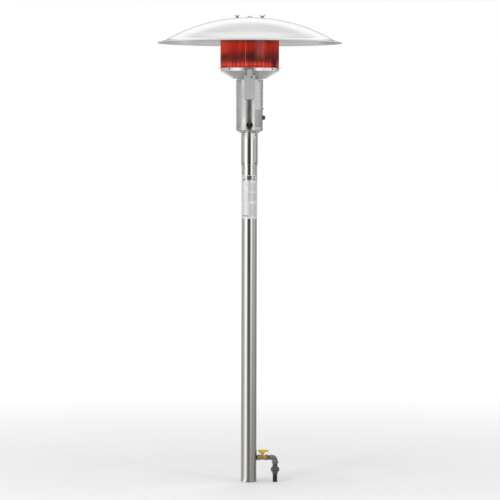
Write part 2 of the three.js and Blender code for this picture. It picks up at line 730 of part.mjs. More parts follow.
function addHousing() {
  piece('housing_top_plate', housingTopPlate(), SATIN);
  piece('control_housing', controlHousing(), HAMMERED);
  piece('side_panel', sidePanel(), SATIN);
  piece('housing_base', housingBase(), HAMMERED);
  HOUSING_SCREWS.angles.forEach((angle, index) => {
    radialScrew(`housing_screw_${index + 1}`, angle, HOUSING.radius, HOUSING_SCREWS.z, SCREW);
  });
  radialScrew('side_panel_screw', 90, HOUSING.radius, PANEL_SCREW_Z, SCREW);
  piece('pilot_cover', pilotCover(), SATIN);
  piece('pilot_cover_neck', pilotCoverNeck(), SATIN);
  const { head, height, length } = COVER_SCREW;
  const coverScrew = piece('pilot_cover_screw', screwShape(head, height, SCREW.shank, length), SATIN);
  coverScrew.rotation.x = QUARTER;
  coverScrew.position.set(COVER_SCREW.x, -COVER.front - GAP, COVER_SCREW.z);
}

// ---------------------------------------------------------------- post and sleeve

/** An upright stadium-shaped block through the post's +X wall, smaller by an inset. */
function slotBlock(inset) {
  const half = SLOT.halfWidth - inset;
  const straight = SLOT.halfHeight - SLOT.halfWidth;
  const shape = new THREE.Shape();
  shape.absarc(0, straight, half, 0, Math.PI);
  shape.absarc(0, -straight, half, Math.PI, 2 * Math.PI);
  return plate(shape, 20, 50, 8).rotateX(QUARTER).rotateZ(QUARTER).translate(0, 0, SLOT.z);
}

function post() {
  const shell = tube(POST.radius, POST.radius - POST.wall, 0, POST.top, ROUND);
  const holes = SLEEVE_SCREWS.heights.flatMap((z) =>
    screwHoles(SLEEVE_SCREWS.angles, z, POST.radius - 8, POST.radius + 8));
  return cut(shell, slotBlock(0), ...holes);
}

function headSleeve() {
  const shell = tube(SLEEVE.radius, SLEEVE.bore, SLEEVE.bottom, SLEEVE.top, ROUND);
  const holes = SLEEVE_SCREWS.heights.flatMap((z) =>
    screwHoles(SLEEVE_SCREWS.angles, z, POST.radius - 8, POST.radius + 8));
  return cut(shell, ...holes);
}

/** The rubber grommet that closes the slot round the gas pipe. */
function pipeGrommet() {
  const wall = tube(POST.radius + 1.4, POST.radius - POST.wall, SLOT.z - 30, SLOT.z + 30, ROUND);
  const pipeHole = rod(PIPE.socket, 0, 60, SMALL).rotateY(QUARTER).translate(0, 0, VALVE.z);
  return cut(common(wall, slotBlock(GAP)), pipeHole);
}

function ratingLabel() {
  const inner = POST.radius + GAP;
  const sheet = tube(inner + LABEL.thickness, inner, LABEL.bottom, LABEL.top, ROUND);
  const sector = wedge(-LABEL.halfAngle, LABEL.halfAngle, 60, LABEL.bottom - 5, LABEL.top + 5);
  return common(sheet, sector);
}

function addPost() {
  piece('post', post(), POLISHED);
  piece('head_sleeve', headSleeve(), POLISHED);
  let count = 0;
  for (const z of SLEEVE_SCREWS.heights) {
    for (const angle of SLEEVE_SCREWS.angles) {
      count += 1;
      radialScrew(`sleeve_screw_${count}`, angle, SLEEVE.radius, z, SCREW);
    }
  }
  piece('rating_label', ratingLabel(), LABEL_FOIL);
  piece('pipe_grommet', pipeGrommet(), RUBBER);
}

// ---------------------------------------------------------------- gas line

/** A turned piece whose axis is X, at the height of the gas line. */
const alongX = (geometry) => geometry.rotateY(QUARTER).translate(0, 0, VALVE.z);

/** The ball valve body: two hexagonal ends, a round waist and the neck of the stem. */
function ballValveBody() {
  const corner = hexCorner(VALVE.hexAcross);
  const waist = rod(VALVE.barrel, VALVE.from + 2, VALVE.to - 2, SMALL);
  const firstHex = prism(corner, VALVE.from, VALVE.from + VALVE.hexLength, 6);
  const secondHex = prism(corner, VALVE.to - VALVE.hexLength, VALVE.to, 6);
  const neck = turned([
    [0, VALVE.z],
    [9, VALVE.z],
    [9, VALVE.z + 9],
    [6.5, HANDLE.hubBottom - GAP],
    [0, HANDLE.hubBottom - GAP],
  ], SMALL).translate(STEM_X, 0, 0);
  const body = join(alongX(waist), alongX(firstHex), alongX(secondHex), neck);
  const cavity = new THREE.SphereGeometry(BALL.cavity, 12, 8).translate(STEM_X, 0, VALVE.z);
  const depth = VALVE.hexLength;
  const sockets = [
    [VALVE.from - 2, VALVE.from + depth],
    [VALVE.to - depth, VALVE.to + 2],
  ].map(([from, to]) => alongX(rod(PIPE.socket, from, to, SMALL)));
  const port = alongX(rod(VALVE.port, VALVE.from, VALVE.to, SMALL));
  const stemBore = rod(STEM.radius + GAP, VALVE.z, HANDLE.hubBottom + 5, TINY).translate(STEM_X, 0, 0);
  return cut(body, cavity, ...sockets, port, stemBore);
}

function valveBall() {
  const ball = new THREE.SphereGeometry(BALL.radius, 12, 8);
  const bore = rod(VALVE.port - 0.5, -20, 20, SMALL).rotateY(QUARTER);
  const flat = block([-20, -20, STEM.bottom - GAP], [20, 20, 20]);
  return cut(ball, bore, flat).translate(STEM_X, 0, VALVE.z);
}

/** The moulded handle: a hub that tapers down to the stem, and a short lever along +X. */
function valveHandle() {
  const hub = turned([
    [0, HANDLE.hubBottom],
    [7.5, HANDLE.hubBottom],
    [HANDLE.hub, HANDLE.plateBottom + 2],
    [HANDLE.hub, HANDLE.plateTop - 1],
    [0, HANDLE.plateTop - 1],
  ], SMALL);
  const shape = new THREE.Shape();
  const tip = HANDLE.reach - HANDLE.halfWidth;
  shape.absarc(tip, 0, HANDLE.halfWidth, -QUARTER, QUARTER);
  shape.lineTo(10, 8);
  shape.absarc(-6, 0, 13.5, radians(50), radians(310));
  shape.lineTo(10, -8);
  const lever = plate(shape, HANDLE.plateBottom, HANDLE.plateTop, 6);
  const stemBore = rod(STEM.radius + GAP, HANDLE.hubBottom - 5, HANDLE.plateTop + 5, TINY);
  const screwRecess = rod(6.3, STEM.top + GAP, HANDLE.plateTop + 5, SMALL);
  return cut(join(hub, lever), stemBore, screwRecess).translate(STEM_X, 0, 0);
}

/** The malleable street elbow: a male end in the valve, a short bend and a banded mouth below. */
function elbow() {
  const end = VALVE.z - ELBOW.reach;
  const corners = (start, finish) => [
    [start, 0, VALVE.z],
    [ELBOW.x, 0, VALVE.z],
    [ELBOW.x, 0, finish],
  ];
  const male = alongX(rod(PIPE.radius, ELBOW_MALE.from, ELBOW_MALE.shoulder + 2, SMALL));
  const body = bentPipe(corners(ELBOW_MALE.shoulder, end), ELBOW.bend, ELBOW.radius, 0, SMALL);
  const passage = bentPipe(corners(ELBOW_MALE.from - 3, end - 3), ELBOW.bend, PIPE.bore, 0, SMALL);
  const band = rod(ELBOW_BAND.radius, end, end + ELBOW_BAND.length, SMALL);
  const socket = rod(PIPE.socket, end - 3, end + ELBOW_BAND.socketDepth, SMALL);
  const downLine = (geometry) => geometry.translate(ELBOW.x, 0, 0);
  return cut(join(body, male, downLine(band)), passage, downLine(socket));
}

/** The upper half of the union: a male end in the elbow, a collar and the threaded seat. */
function unionUpper() {
  const end = VALVE.z - ELBOW.reach;
  const collarBottom = UNION_NUT.top + 2;
  return ring([
    [PIPE.bore, UNION.seat + GAP],
    [UNION.thread, UNION.seat + GAP],
    [UNION.thread, UNION_NUT.top + 0.8],
    [UNION.collar, collarBottom],
    [UNION.collar, collarBottom + 8],
    [PIPE.radius, collarBottom + 10],
    [PIPE.radius, end + ELBOW_BAND.socketDepth - 1],
    [PIPE.bore, end + ELBOW_BAND.socketDepth - 1],
  ], SMALL).translate(ELBOW.x, 0, 0);
}

/** The eight-sided nut: an inward lip at its foot holds the lower half's shoulder. */
function unionNut() {
  const outside = turned([
    [0, UNION_NUT.bottom],
    [UNION_NUT.end, UNION_NUT.bottom],
    [UNION_NUT.radius, UNION_NUT.bottom + UNION_NUT.chamfer],
    [UNION_NUT.radius, UNION_NUT.top - UNION_NUT.chamfer],
    [UNION_NUT.end, UNION_NUT.top],
    [0, UNION_NUT.top],
  ], 8).rotateZ(QUARTER / 4);
  const hole = rod(UNION.tail + 2 * GAP, UNION_NUT.bottom - 2, UNION_NUT.lip + 1, SMALL);
  const cavity = rod(UNION.cavity + GAP, UNION_NUT.lip, UNION_NUT.top + 2, SMALL);
  return cut(outside, hole, cavity).translate(ELBOW.x, 0, 0);
}

/** The lower half of the union: a socket for the riser pipe, a shoulder under the nut and a cone. */
function unionLower() {
  const shoulderTop = UNION_NUT.lip + 6;
  return ring([
    [PIPE.socket, UNION.bottom],
    [UNION.tail, UNION.bottom],
    [UNION.collar + 0.4, UNION_NUT.bottom - 4],
    [UNION.tail, UNION_NUT.bottom - 1],
    [UNION.tail, UNION_NUT.lip + GAP],
    [UNION.thread, UNION_NUT.lip + GAP],
    [UNION.thread, shoulderTop],
    [UNION.tail, UNION.seat],
    [PIPE.bore, UNION.seat],
    [PIPE.bore, UNION_NUT.bottom],
    [PIPE.socket, UNION_NUT.bottom],
  ], SMALL).translate(ELBOW.x, 0, 0);
}

/** The supply tube inside the post, from the nipple's bore up to the control valve. */
function gasSupplyTube() {
  return bentPipe([
    [20, 0, VALVE.z],
    [INLET_X, 0, VALVE.z],
    [INLET_X, 0, VALVE_BLOCK.bottom + 8],
  ], 20, PIPE.bore - GAP, PIPE.bore - GAP - 1.2, 10);
}

function addGasLine() {
  piece('gas_supply_tube', gasSupplyTube(), COPPER);
  const nippleEnd = VALVE.from + VALVE.hexLength - 1;
  piece('valve_nipple', alongX(tube(PIPE.radius, PIPE.bore, 10, nippleEnd, SMALL)), BLACK_IRON);
  piece('ball_valve_body', ballValveBody(), BRASS);
  piece('valve_ball', valveBall(), POLISHED);
  const stem = rod(STEM.radius, VALVE.z + STEM.bottom, STEM.top, TINY);
  piece('valve_stem', stem, BRASS).position.x = STEM_X;
  piece('valve_handle', valveHandle(), YELLOW);
  const screwHead = prism(5.8, STEM.top + 2 * GAP, HANDLE.plateTop - 0.6, 6);
  piece('handle_screw', screwHead, SATIN).position.x = STEM_X;
  piece('elbow', elbow(), MALLEABLE_IRON);
  piece('union_upper', unionUpper(), MALLEABLE_IRON);
  piece('union_nut', unionNut(), MALLEABLE_IRON);
  piece('union_lower', unionLower(), MALLEABLE_IRON);
  piece('riser_pipe', tube(PIPE.radius, PIPE.bore, 0, 46, SMALL), BLACK_IRON).position.x = ELBOW.x;
}

addReflector();
addEmitter();
addControls();
addHousing();
addPost();
addGasLine();

export default heater;
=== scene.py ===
"""Looks for the post-mounted gas patio heater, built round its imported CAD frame.

The frame is the CAD's: +Z up, the post's axis at x = y = 0, the front towards -Y. Pieces are drawn in
millimetres and become objects in metres; the studio and the textures are in metres.
"""
import json
import math

import bmesh
import bpy
from mathutils import Matrix, Quaternion, Vector


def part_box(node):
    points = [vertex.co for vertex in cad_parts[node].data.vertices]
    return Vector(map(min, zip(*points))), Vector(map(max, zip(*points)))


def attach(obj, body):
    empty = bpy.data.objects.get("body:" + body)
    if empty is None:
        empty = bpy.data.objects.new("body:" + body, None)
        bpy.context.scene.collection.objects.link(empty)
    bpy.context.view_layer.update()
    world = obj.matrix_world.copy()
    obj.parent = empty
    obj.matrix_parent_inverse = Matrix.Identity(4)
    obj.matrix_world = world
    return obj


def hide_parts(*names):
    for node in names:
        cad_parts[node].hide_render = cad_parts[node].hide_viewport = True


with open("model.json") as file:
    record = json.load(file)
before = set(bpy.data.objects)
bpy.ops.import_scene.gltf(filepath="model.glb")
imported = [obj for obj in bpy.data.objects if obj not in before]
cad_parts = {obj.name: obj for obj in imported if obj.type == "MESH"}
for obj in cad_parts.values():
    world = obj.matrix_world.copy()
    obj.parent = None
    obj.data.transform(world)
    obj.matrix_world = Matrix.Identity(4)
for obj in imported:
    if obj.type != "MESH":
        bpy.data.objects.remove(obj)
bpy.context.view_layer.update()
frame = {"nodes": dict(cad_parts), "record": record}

MM = 0.001
TAU = 2 * math.pi
ROOT = "heater"

# ---------- the frame's own sizes


def box(node):
    """A CAD node's lowest and highest corners, in millimetres."""
    lo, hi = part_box(node)
    return lo / MM, hi / MM


def low(node):
    return box(node)[0]


def high(node):
    return box(node)[1]


def middle(node):
    return (low(node) + high(node)) / 2


def polar(degrees, radius, z=0.0):
    """A point at an angle from the front (-Y) towards +X."""
    angle = math.radians(degrees)
    return Vector((radius * math.sin(angle), -radius * math.cos(angle), z))


POST_R = high("post").x
SLEEVE_R = high("head_sleeve").x
HOUSING_R = high("control_housing").y
RIM_R = high("reflector").x
PAN_R = high("burner_pan").x
SCREEN_R = high("emitter_screen").x
GAS_Z = middle("valve_nipple").z
GAS_X = middle("riser_pipe").x
STEM_X = middle("valve_stem").x
PIPE_R = high("riser_pipe").y
KNOB_Z = middle("control_knob").z
IGNITER_Z = middle("igniter_button").z

# The room between neighbouring pieces, as in the CAD.
GAP = 0.3

# ---------- shapes as (points, faces)


def fillet(points, radius, steps=4, closed=False):
    """Rounds the corners of a flat outline. A point may carry a radius of its own."""
    rounded = []
    count = len(points)
    for index, point in enumerate(points):
        here = Vector(point[:2])
        size = point[2] if len(point) > 2 else radius
        if size <= 0 or not (closed or 0 < index < count - 1):
            rounded.append(tuple(here))
            continue
        back = Vector(points[index - 1][:2]) - here
        ahead = Vector(points[(index + 1) % count][:2]) - here
        turn = back.angle(ahead)
        if turn > math.radians(174):
            rounded.append(tuple(here))
            continue
        reach = min(size / math.tan(turn / 2), 0.45 * back.length, 0.45 * ahead.length)
        start = here + back.normalized() * reach
        end = here + ahead.normalized() * reach
        for step in range(steps + 1):
            t = step / steps
            rounded.append(tuple((1 - t) ** 2 * start + 2 * t * (1 - t) * here + t * t * end))
    return rounded


def skin(rows, closed=False):
    """Quads between rings of points; closed joins the last ring to the first."""
    sides = len(rows[0])
    verts = [tuple(point) for row in rows for point in row]
    faces = []
    for row in range(len(rows) if closed else len(rows) - 1):
        a, b = row * sides, (row + 1) % len(rows) * sides
        for side in range(sides):
            after = (side + 1) % sides
            faces.append((a + side, a + after, b + after, b + side))
    return verts, faces


def capped(rows):
    """A skin with a flat face over each end."""
    verts, faces = skin(rows)
    sides = len(rows[0])
    return verts, faces + [tuple(range(sides - 1, -1, -1)), tuple(range(len(verts) - sides, len(verts)))]


def circle(sides, radius, height):
    return [(x, y, height) for x, y in polygon(sides, radius)]


def turned(outline, sides=96, bevel=0.3, closed=False, steps=3):
    """An outline of (radius, height) spun about Z; it ends on the axis or closes on itself.

    A ring on the axis melts into one point when the shape becomes an object.
    """
    return skin([circle(sides, *point) for point in fillet(outline, bevel, steps, closed)], closed)


def tube(radius, bore, bottom, top, sides=96, bevel=0.3):
    return turned([(bore, bottom), (radius, bottom), (radius, top), (bore, top)], sides, bevel, True)


def rod(radius, bottom, top, sides=48, bevel=0.3):
    return turned([(0, bottom), (radius, bottom), (radius, top), (0, top)], sides, bevel)


def prism(outline, bottom, top, corner=0.0, steps=5):
    """A flat outline in X and Y given a thickness in Z."""
    points = fillet(outline, corner, steps, True) if corner or len(outline[0]) > 2 else outline
    return capped([[(x, y, z) for x, y in points] for z in (bottom, top)])


def polygon(sides, radius, turn=0.0):
    angles = [TAU * side / sides + turn for side in range(sides)]
    return [(radius * math.cos(a), radius * math.sin(a)) for a in angles]


def block(lo, hi):
    return prism([(lo[0], lo[1]), (hi[0], lo[1]), (hi[0], hi[1]), (lo[0], hi[1])], lo[2], hi[2])


def swept(path, radius, sides):
    """A round bar along a path, with flat ends."""
    points = [Vector(p) for p in path]
    side_way = Vector((0, 1, 0))
    rows = []
    for index, point in enumerate(points):
        before, after = points[max(index - 1, 0)], points[min(index + 1, len(points) - 1)]
        along = (after - before).normalized()
        across = (side_way - along * side_way.dot(along)).normalized()
        other = along.cross(across)
        rows.append([point + x * across + y * other for x, y in polygon(sides, radius)])
    return capped(rows)


def thread(radius, bore, pitch, depth, bottom, top, sides):
    """A screw thread about Z with a real helix, and a bore when one is given."""
    per_turn = 6
    steps = max(2, round((top - bottom) / pitch * per_turn))
    rows = []
    for row in range(steps + 1):
        height = bottom + (top - bottom) * row / steps
        fade = min(1.0, row / per_turn, (steps - row) / per_turn)
        rows.append([])
        for side in range(sides):
            phase = (height / pitch - side / sides) % 1.0
            size = radius - depth * (1 - abs(2 * phase - 1) * fade)
            angle = TAU * side / sides
            rows[-1].append((size * math.cos(angle), size * math.sin(angle), height))
    if bore <= 0:
        return capped(rows)
    return skin(rows + [circle(sides, bore, top), circle(sides, bore, bottom)], True)


def placing(at, turn):
    """A turn by degrees about X, then Y, then Z, and a move."""
    matrix = Matrix.Translation(Vector(at))
    for axis, degrees in zip("ZYX", reversed(turn)):
        matrix = matrix @ Matrix.Rotation(math.radians(degrees), 4, axis)
    return matrix


def moved(shape, at=(0, 0, 0), turn=(0, 0, 0)):
    matrix = placing(at, turn)
    return [tuple(matrix @ Vector(v)) for v in shape[0]], shape[1]


def together(*shapes):
    verts, faces = [], []
    for points, polygons in shapes:
        start = len(verts)
        verts += points
        faces += [tuple(start + i for i in face) for face in polygons]
    return verts, faces


def arc(centre, radius, start, end, steps):
    """Points on a flat arc, angles in degrees."""
    found = []
    for step in range(steps + 1):
        angle = math.radians(start + (end - start) * step / steps)
        found.append((centre[0] + radius * math.cos(angle), centre[1] + radius * math.sin(angle)))
    return found


# ---------- shapes as objects


def linked(name, data):
    obj = bpy.data.objects.new(name, data)
    bpy.context.collection.objects.link(obj)
    return obj


def new_object(name, shape):
    """A shape drawn in millimetres becomes an object in metres."""
    mesh = bpy.data.meshes.new(name)
    mesh.from_pydata([[MM * value for value in point] for point in shape[0]], [], shape[1])
    work = bmesh.new()
    work.from_mesh(mesh)
    bmesh.ops.remove_doubles(work, verts=work.verts, dist=0.001 * MM)
    bmesh.ops.recalc_face_normals(work, faces=work.faces)
    work.to_mesh(mesh)
    work.free()
    return linked(name, mesh)


def place(obj, at, turn=(0, 0, 0)):
    """Moves an object's mesh and leaves the object at the origin."""
    obj.data.transform(placing(Vector(at) * MM, turn))


def modify(obj, kind, **settings):
    """Gives an object a modifier and turns it into mesh."""
    modifier = obj.modifiers.new(kind.lower(), kind)
    for name, value in settings.items():
        setattr(modifier, name, value)
    graph = bpy.context.evaluated_depsgraph_get()
    mesh = bpy.data.meshes.new_from_object(obj.evaluated_get(graph))
    old = obj.data
    obj.modifiers.clear()
    obj.data = mesh
    bpy.data.meshes.remove(old)
    return obj


def combine(obj, operation, *shapes):
    """Joins shapes to an object, or cuts them from it."""
    for shape in shapes:
        tool = new_object("tool", shape)
        modify(obj, "BOOLEAN", operation=operation, solver="MANIFOLD", object=tool)
        bpy.data.objects.remove(tool)
    return obj


def cut(obj, *shapes):
    return combine(obj, "DIFFERENCE", *shapes)


def join(obj, *shapes):
    return combine(obj, "UNION", *shapes)


def common(obj, *shapes):
    return combine(obj, "INTERSECT", *shapes)


def bevel(obj, width, segments=2, angle=35):
    return modify(obj, "BEVEL", width=width * MM, segments=segments, limit_method="ANGLE",
                  angle_limit=math.radians(angle), harden_normals=False)


def soften(obj, voxel, rounds):
    """Melts sharp joints together, as a casting or a moulding has them."""
    modify(obj, "REMESH", mode="VOXEL", voxel_size=voxel * MM)
    return modify(obj, "SMOOTH", iterations=rounds, factor=0.5)


def finish_piece(obj, look, node=None, body=ROOT, slot=None, sharp=32):
    """Shades a finished mesh, gives it its look, ties it to its body and hides the node it replaces."""
    obj.data.materials.clear()
    obj.data.materials.append(LOOKS[look])
    obj.data.shade_smooth()
    obj.data.set_sharp_from_angle(angle=math.radians(sharp))
    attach(obj, body)
    if node:
        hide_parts(node)
    return obj


def piece(node, shape, look, **more):
    """A shape that takes a CAD node's place as it is."""
    return finish_piece(new_object(f"{node}_detail", shape), look, node, **more)


def paint(obj, look, chosen):
    """Gives a second look to the faces that a test picks."""
    obj.data.materials.append(LOOKS[look])
    for face in obj.data.polygons:
        face.material_index = int(chosen(face))


# ---------- materials


class Look:
    """A Principled material, with short calls for the textures that feed it."""

    def __init__(self, name, colour, roughness, metallic=0.0, **fixed):
        self.material = bpy.data.materials.new(name)
        self.material.use_nodes = True
        self.tree = self.material.node_tree
        self.shader = self.tree.nodes["Principled BSDF"]
        self.set("Base Color", (*colour, 1.0))
        self.set("Roughness", roughness)
        self.set("Metallic", metallic)
        for socket, value in fixed.items():
            self.set(socket.replace("_", " "), value)
        self.place = self.node("ShaderNodeTexCoord").outputs["Object"]

    def set(self, socket, value):
        self.shader.inputs[socket].default_value = value

    def link(self, output, socket):
        self.tree.links.new(output, self.shader.inputs[socket])

    def feed(self, socket, value):
        """Links a node's output to a socket, or sets a plain value on it."""
        if isinstance(value, bpy.types.NodeSocket):
            self.tree.links.new(value, socket)
        else:
            socket.default_value = value

    def node(self, kind, **inputs):
        made = self.tree.nodes.new(kind)
        for socket, value in inputs.items():
            self.feed(made.inputs[socket.replace("_", " ")], value)
        return made

    def stretched(self, scale):
        return self.node("ShaderNodeMapping", Vector=self.place, Scale=scale).outputs[0]

    def noise(self, scale, stretch=(1, 1, 1), detail=3.0, roughness=0.5, place=None):
        where = place or self.stretched(stretch)
        made = self.node("ShaderNodeTexNoise", Vector=where, Scale=scale, Detail=detail, Roughness=roughness)
        return made.outputs["Fac"]

    def cells(self, scale):
        made = self.node("ShaderNodeTexVoronoi", Vector=self.place, Scale=scale, Randomness=1.0)
        return made.outputs["Distance"]

    def calc(self, how, first, second=0.0):
        made = self.tree.nodes.new("ShaderNodeMath")
        made.operation = how
        self.feed(made.inputs[0], first)
        self.feed(made.inputs[1], second)
        return made.outputs[0]

    def times(self, first, second):
        return self.calc("MULTIPLY", first, second)

    def between(self, value, start, end, low_out=0.0, high_out=1.0):
        limits = {"From_Min": start, "From_Max": end, "To_Min": low_out, "To_Max": high_out}
        return self.node("ShaderNodeMapRange", Value=value, **limits).outputs[0]

    def near(self, value, centre, half):
        """1 at a value, fading to 0 at a distance from it."""
        away = self.calc("ABSOLUTE", self.calc("ADD", value, -centre))
        return self.between(away, half * 0.4, half, 1.0, 0.0)

    def ramp(self, value, *stops):
        """Colours along a value; each stop is (place, colour)."""
        made = self.node("ShaderNodeValToRGB", Fac=value)
        fill_ramp(made.color_ramp.elements, stops)
        return made.outputs["Color"]

    def blend(self, first, second, share, how="MIX"):
        made = self.tree.nodes.new("ShaderNodeMix")
        made.data_type = "RGBA"
        made.blend_type = how
        for socket, value in zip(("Factor", 6, 7), (share, first, second)):
            self.feed(made.inputs[socket], (*value, 1.0) if isinstance(value, tuple) else value)
        return made.outputs[2]

    def bump(self, height, depth, strength, under=None):
        """Relief of a depth in millimetres, laid on another bump when one is given."""
        made = self.node("ShaderNodeBump", Height=height, Distance=depth * MM, Strength=strength)
        if under:
            self.tree.links.new(under, made.inputs["Normal"])
        self.link(made.outputs["Normal"], "Normal")
        return made.outputs["Normal"]

    def point(self, x, y=0.0, z=0.0):
        return self.node("ShaderNodeCombineXYZ", X=x, Y=y, Z=z).outputs[0]

    def axis(self, index):
        return self.node("ShaderNodeSeparateXYZ", Vector=self.place).outputs[index]

    def angle(self):
        """The angle about Z in radians, 0 at the front."""
        return self.calc("ARCTAN2", self.axis(0), self.times(self.axis(1), -1.0))

    def radius(self):
        """The distance from the Z axis in metres."""
        square = [self.times(self.axis(i), self.axis(i)) for i in (0, 1)]
        return self.calc("POWER", self.calc("ADD", *square), 0.5)


def fill_ramp(elements, stops):
    while len(elements) < len(stops):
        elements.new(0.5)
    for element, (place, colour) in zip(elements, stops):
        element.position = place
        element.color = (*colour, 1.0)


def tinted(look, colour, spread, scale, stretch=(1, 1, 1)):
    """Lets a colour wander a little either side of itself."""
    dark = tuple(max(0.0, c * (1 - spread)) for c in colour)
    light = tuple(min(1.0, c * (1 + spread)) for c in colour)
    value = look.noise(scale, stretch, 4.0)
    look.link(look.ramp(value, (0.3, dark), (0.7, light)), "Base Color")


def worn(look, low_rough, high_rough, scale, stretch=(1, 1, 1)):
    """Lets the gloss wander between two roughnesses."""
    value = look.noise(scale, stretch, 5.0, 0.6)
    look.link(look.between(value, 0.35, 0.65, low_rough, high_rough), "Roughness")


def surface(name, colour, gloss, tint, wear=None, bumps=(), metal=1.0, **fixed):
    """A look whose colour and gloss wander a little, under layers of relief.

    gloss is the least and greatest roughness; tint is the colour's spread, scale and stretch; wear is
    the gloss's scale and stretch; a bump is (texture of the look, depth in millimetres, strength).
    """
    look = Look(name, colour, gloss[0], metal, **fixed)
    tinted(look, colour, *tint)
    if wear:
        worn(look, *gloss, *wear)
    under = None
    for texture, depth, strength in bumps:
        under = look.bump(texture(look), depth, strength, under)
    return look.material


def grain(*settings):
    """Noise as a relief: scale, stretch, detail and roughness."""
    return lambda look: look.noise(*settings)


def pits(scale):
    return lambda look: look.cells(scale)


def tool_rings(scale, detail):
    """The fine rings that spinning leaves in a sheet."""
    return lambda look: look.noise(scale, detail=detail, place=look.point(look.radius()))


def sheet(name, colour, lay, gloss, metal=1.0):
    """Stainless sheet with a satin grain."""
    return surface(name, colour, gloss, (0.05, 30, lay), (80, lay), [(grain(1500, lay, 2), 0.03, 0.6)], metal)


def plastic(name, colour, gloss=(0.34, 0.5), coat=0.0):
    """A moulded plastic with a fine spark-eroded grain."""
    return surface(name, colour, gloss, (0.08, 90), (200,), [(grain(2600, EVEN, 2), 0.03, 0.6)], 0.0,
                   Coat_Weight=coat, Coat_Roughness=0.25)


def malleable_iron(name, colour):
    """Black malleable iron: a sandy casting with a dry oily bloom."""
    return surface(name, colour, (0.36, 0.6), (0.25, 110), (150,),
                   [(grain(260, EVEN, 5, 0.7), 0.35, 0.5), (pits(900), 0.1, 0.5)], 0.8)


def foil(name, colour, rough=0.4, metal=0.35):
    """Printed foil with a slightly uneven lay."""
    return surface(name, colour, (rough - 0.06, rough + 0.08), (0.05, 50), (70,),
                   [(grain(90, EVEN, 2), 0.06, 0.5)], metal)


def screen_height(look):
    """0 at the screen's foot and 1 at its top."""
    return look.between(look.axis(2), low("emitter_screen").z * MM, high("emitter_screen").z * MM)


def glowing_screen(name, strength):
    """A heat-resisting screen glowing dull red: bright at the foot, darker above, then brighter."""
    look = Look(name, (0.020, 0.005, 0.004), 0.7, Specular_IOR_Level=0.1)
    height, turn = screen_height(look), look.angle()

    def patch(degrees, spread, centre, half):
        return look.times(look.near(turn, math.radians(degrees), spread), look.near(height, centre, half))

    streak_place = look.point(turn, look.times(height, 0.16))
    streaks = look.noise(11, detail=3.0, roughness=0.55, place=streak_place)
    broad = look.noise(3.2, detail=2.0, place=streak_place)
    wobble = look.between(look.noise(7, detail=2.0), 0.3, 0.7, -0.035, 0.035)
    glow = look.ramp(
        look.calc("ADD", wobble, height),
        (0.00, (0.42, 0.035, 0.024)),
        (0.04, (0.80, 0.076, 0.050)),
        (0.10, (0.54, 0.040, 0.028)),
        (0.15, (0.20, 0.016, 0.013)),
        (0.22, (0.11, 0.012, 0.010)),
        (0.31, (0.16, 0.014, 0.011)),
        (0.41, (0.33, 0.018, 0.010)),
        (0.51, (0.41, 0.018, 0.009)),
        (0.58, (0.30, 0.014, 0.006)),
        (0.64, (0.17, 0.008, 0.004)),
        (1.00, (0.12, 0.006, 0.003)),
    )
    glow = look.blend(glow, (0.66, 0.045, 0.010), look.times(patch(-66, 0.4, 0.46, 0.2), 0.75))
    pale = look.times(look.near(turn, math.radians(20), 0.24), look.between(height, 0.16, 0.3))
    glow = look.blend(glow, (0.30, 0.075, 0.070), look.times(pale, 0.6))
    dark = look.times(patch(1, 0.28, 0.25, 0.15), 0.3)
    cool = look.times(patch(57, 0.22, 0.04, 0.2), 0.85)
    shadow = look.calc("SUBTRACT", 1.0, look.calc("MAXIMUM", dark, cool))
    tongues = look.calc("ADD", look.times(turn, 43.0), look.between(streaks, 0, 1, -2, 2))
    comb = look.between(look.calc("SINE", tongues), -0.7, 0.9, 0.6, 1.1)
    foot = look.between(height, 0.11, 0.16)
    share = look.times(look.calc("MAXIMUM", foot, comb), look.between(streaks, 0.36, 0.62, 0.72, 1.1))
    share = look.times(share, look.between(broad, 0.36, 0.64, 0.76, 1.15))
    share = look.times(share, shadow)
    look.link(look.blend(glow, look.point(share, share, share), 1.0, "MULTIPLY"), "Emission Color")
    look.set("Emission Strength", strength)
    look.bump(look.noise(700, detail=3.0), 0.05, 0.6)
    worn(look, 0.5, 0.75, 90)
    return look.material


def hot_seam():
    look = Look("hot_seam", (0.08, 0.03, 0.015), 0.6, 0.5)
    stops = ((0.0, (0.80, 0.15, 0.03)), (0.16, (0.55, 0.10, 0.02)), (0.3, (0.36, 0.08, 0.03)),
             (0.48, (0.42, 0.10, 0.03)), (0.62, (0.24, 0.04, 0.012)), (1.0, (0.15, 0.02, 0.01)))
    look.link(look.ramp(screen_height(look), *stops), "Emission Color")
    look.set("Emission Strength", 1.0)
    return look.material


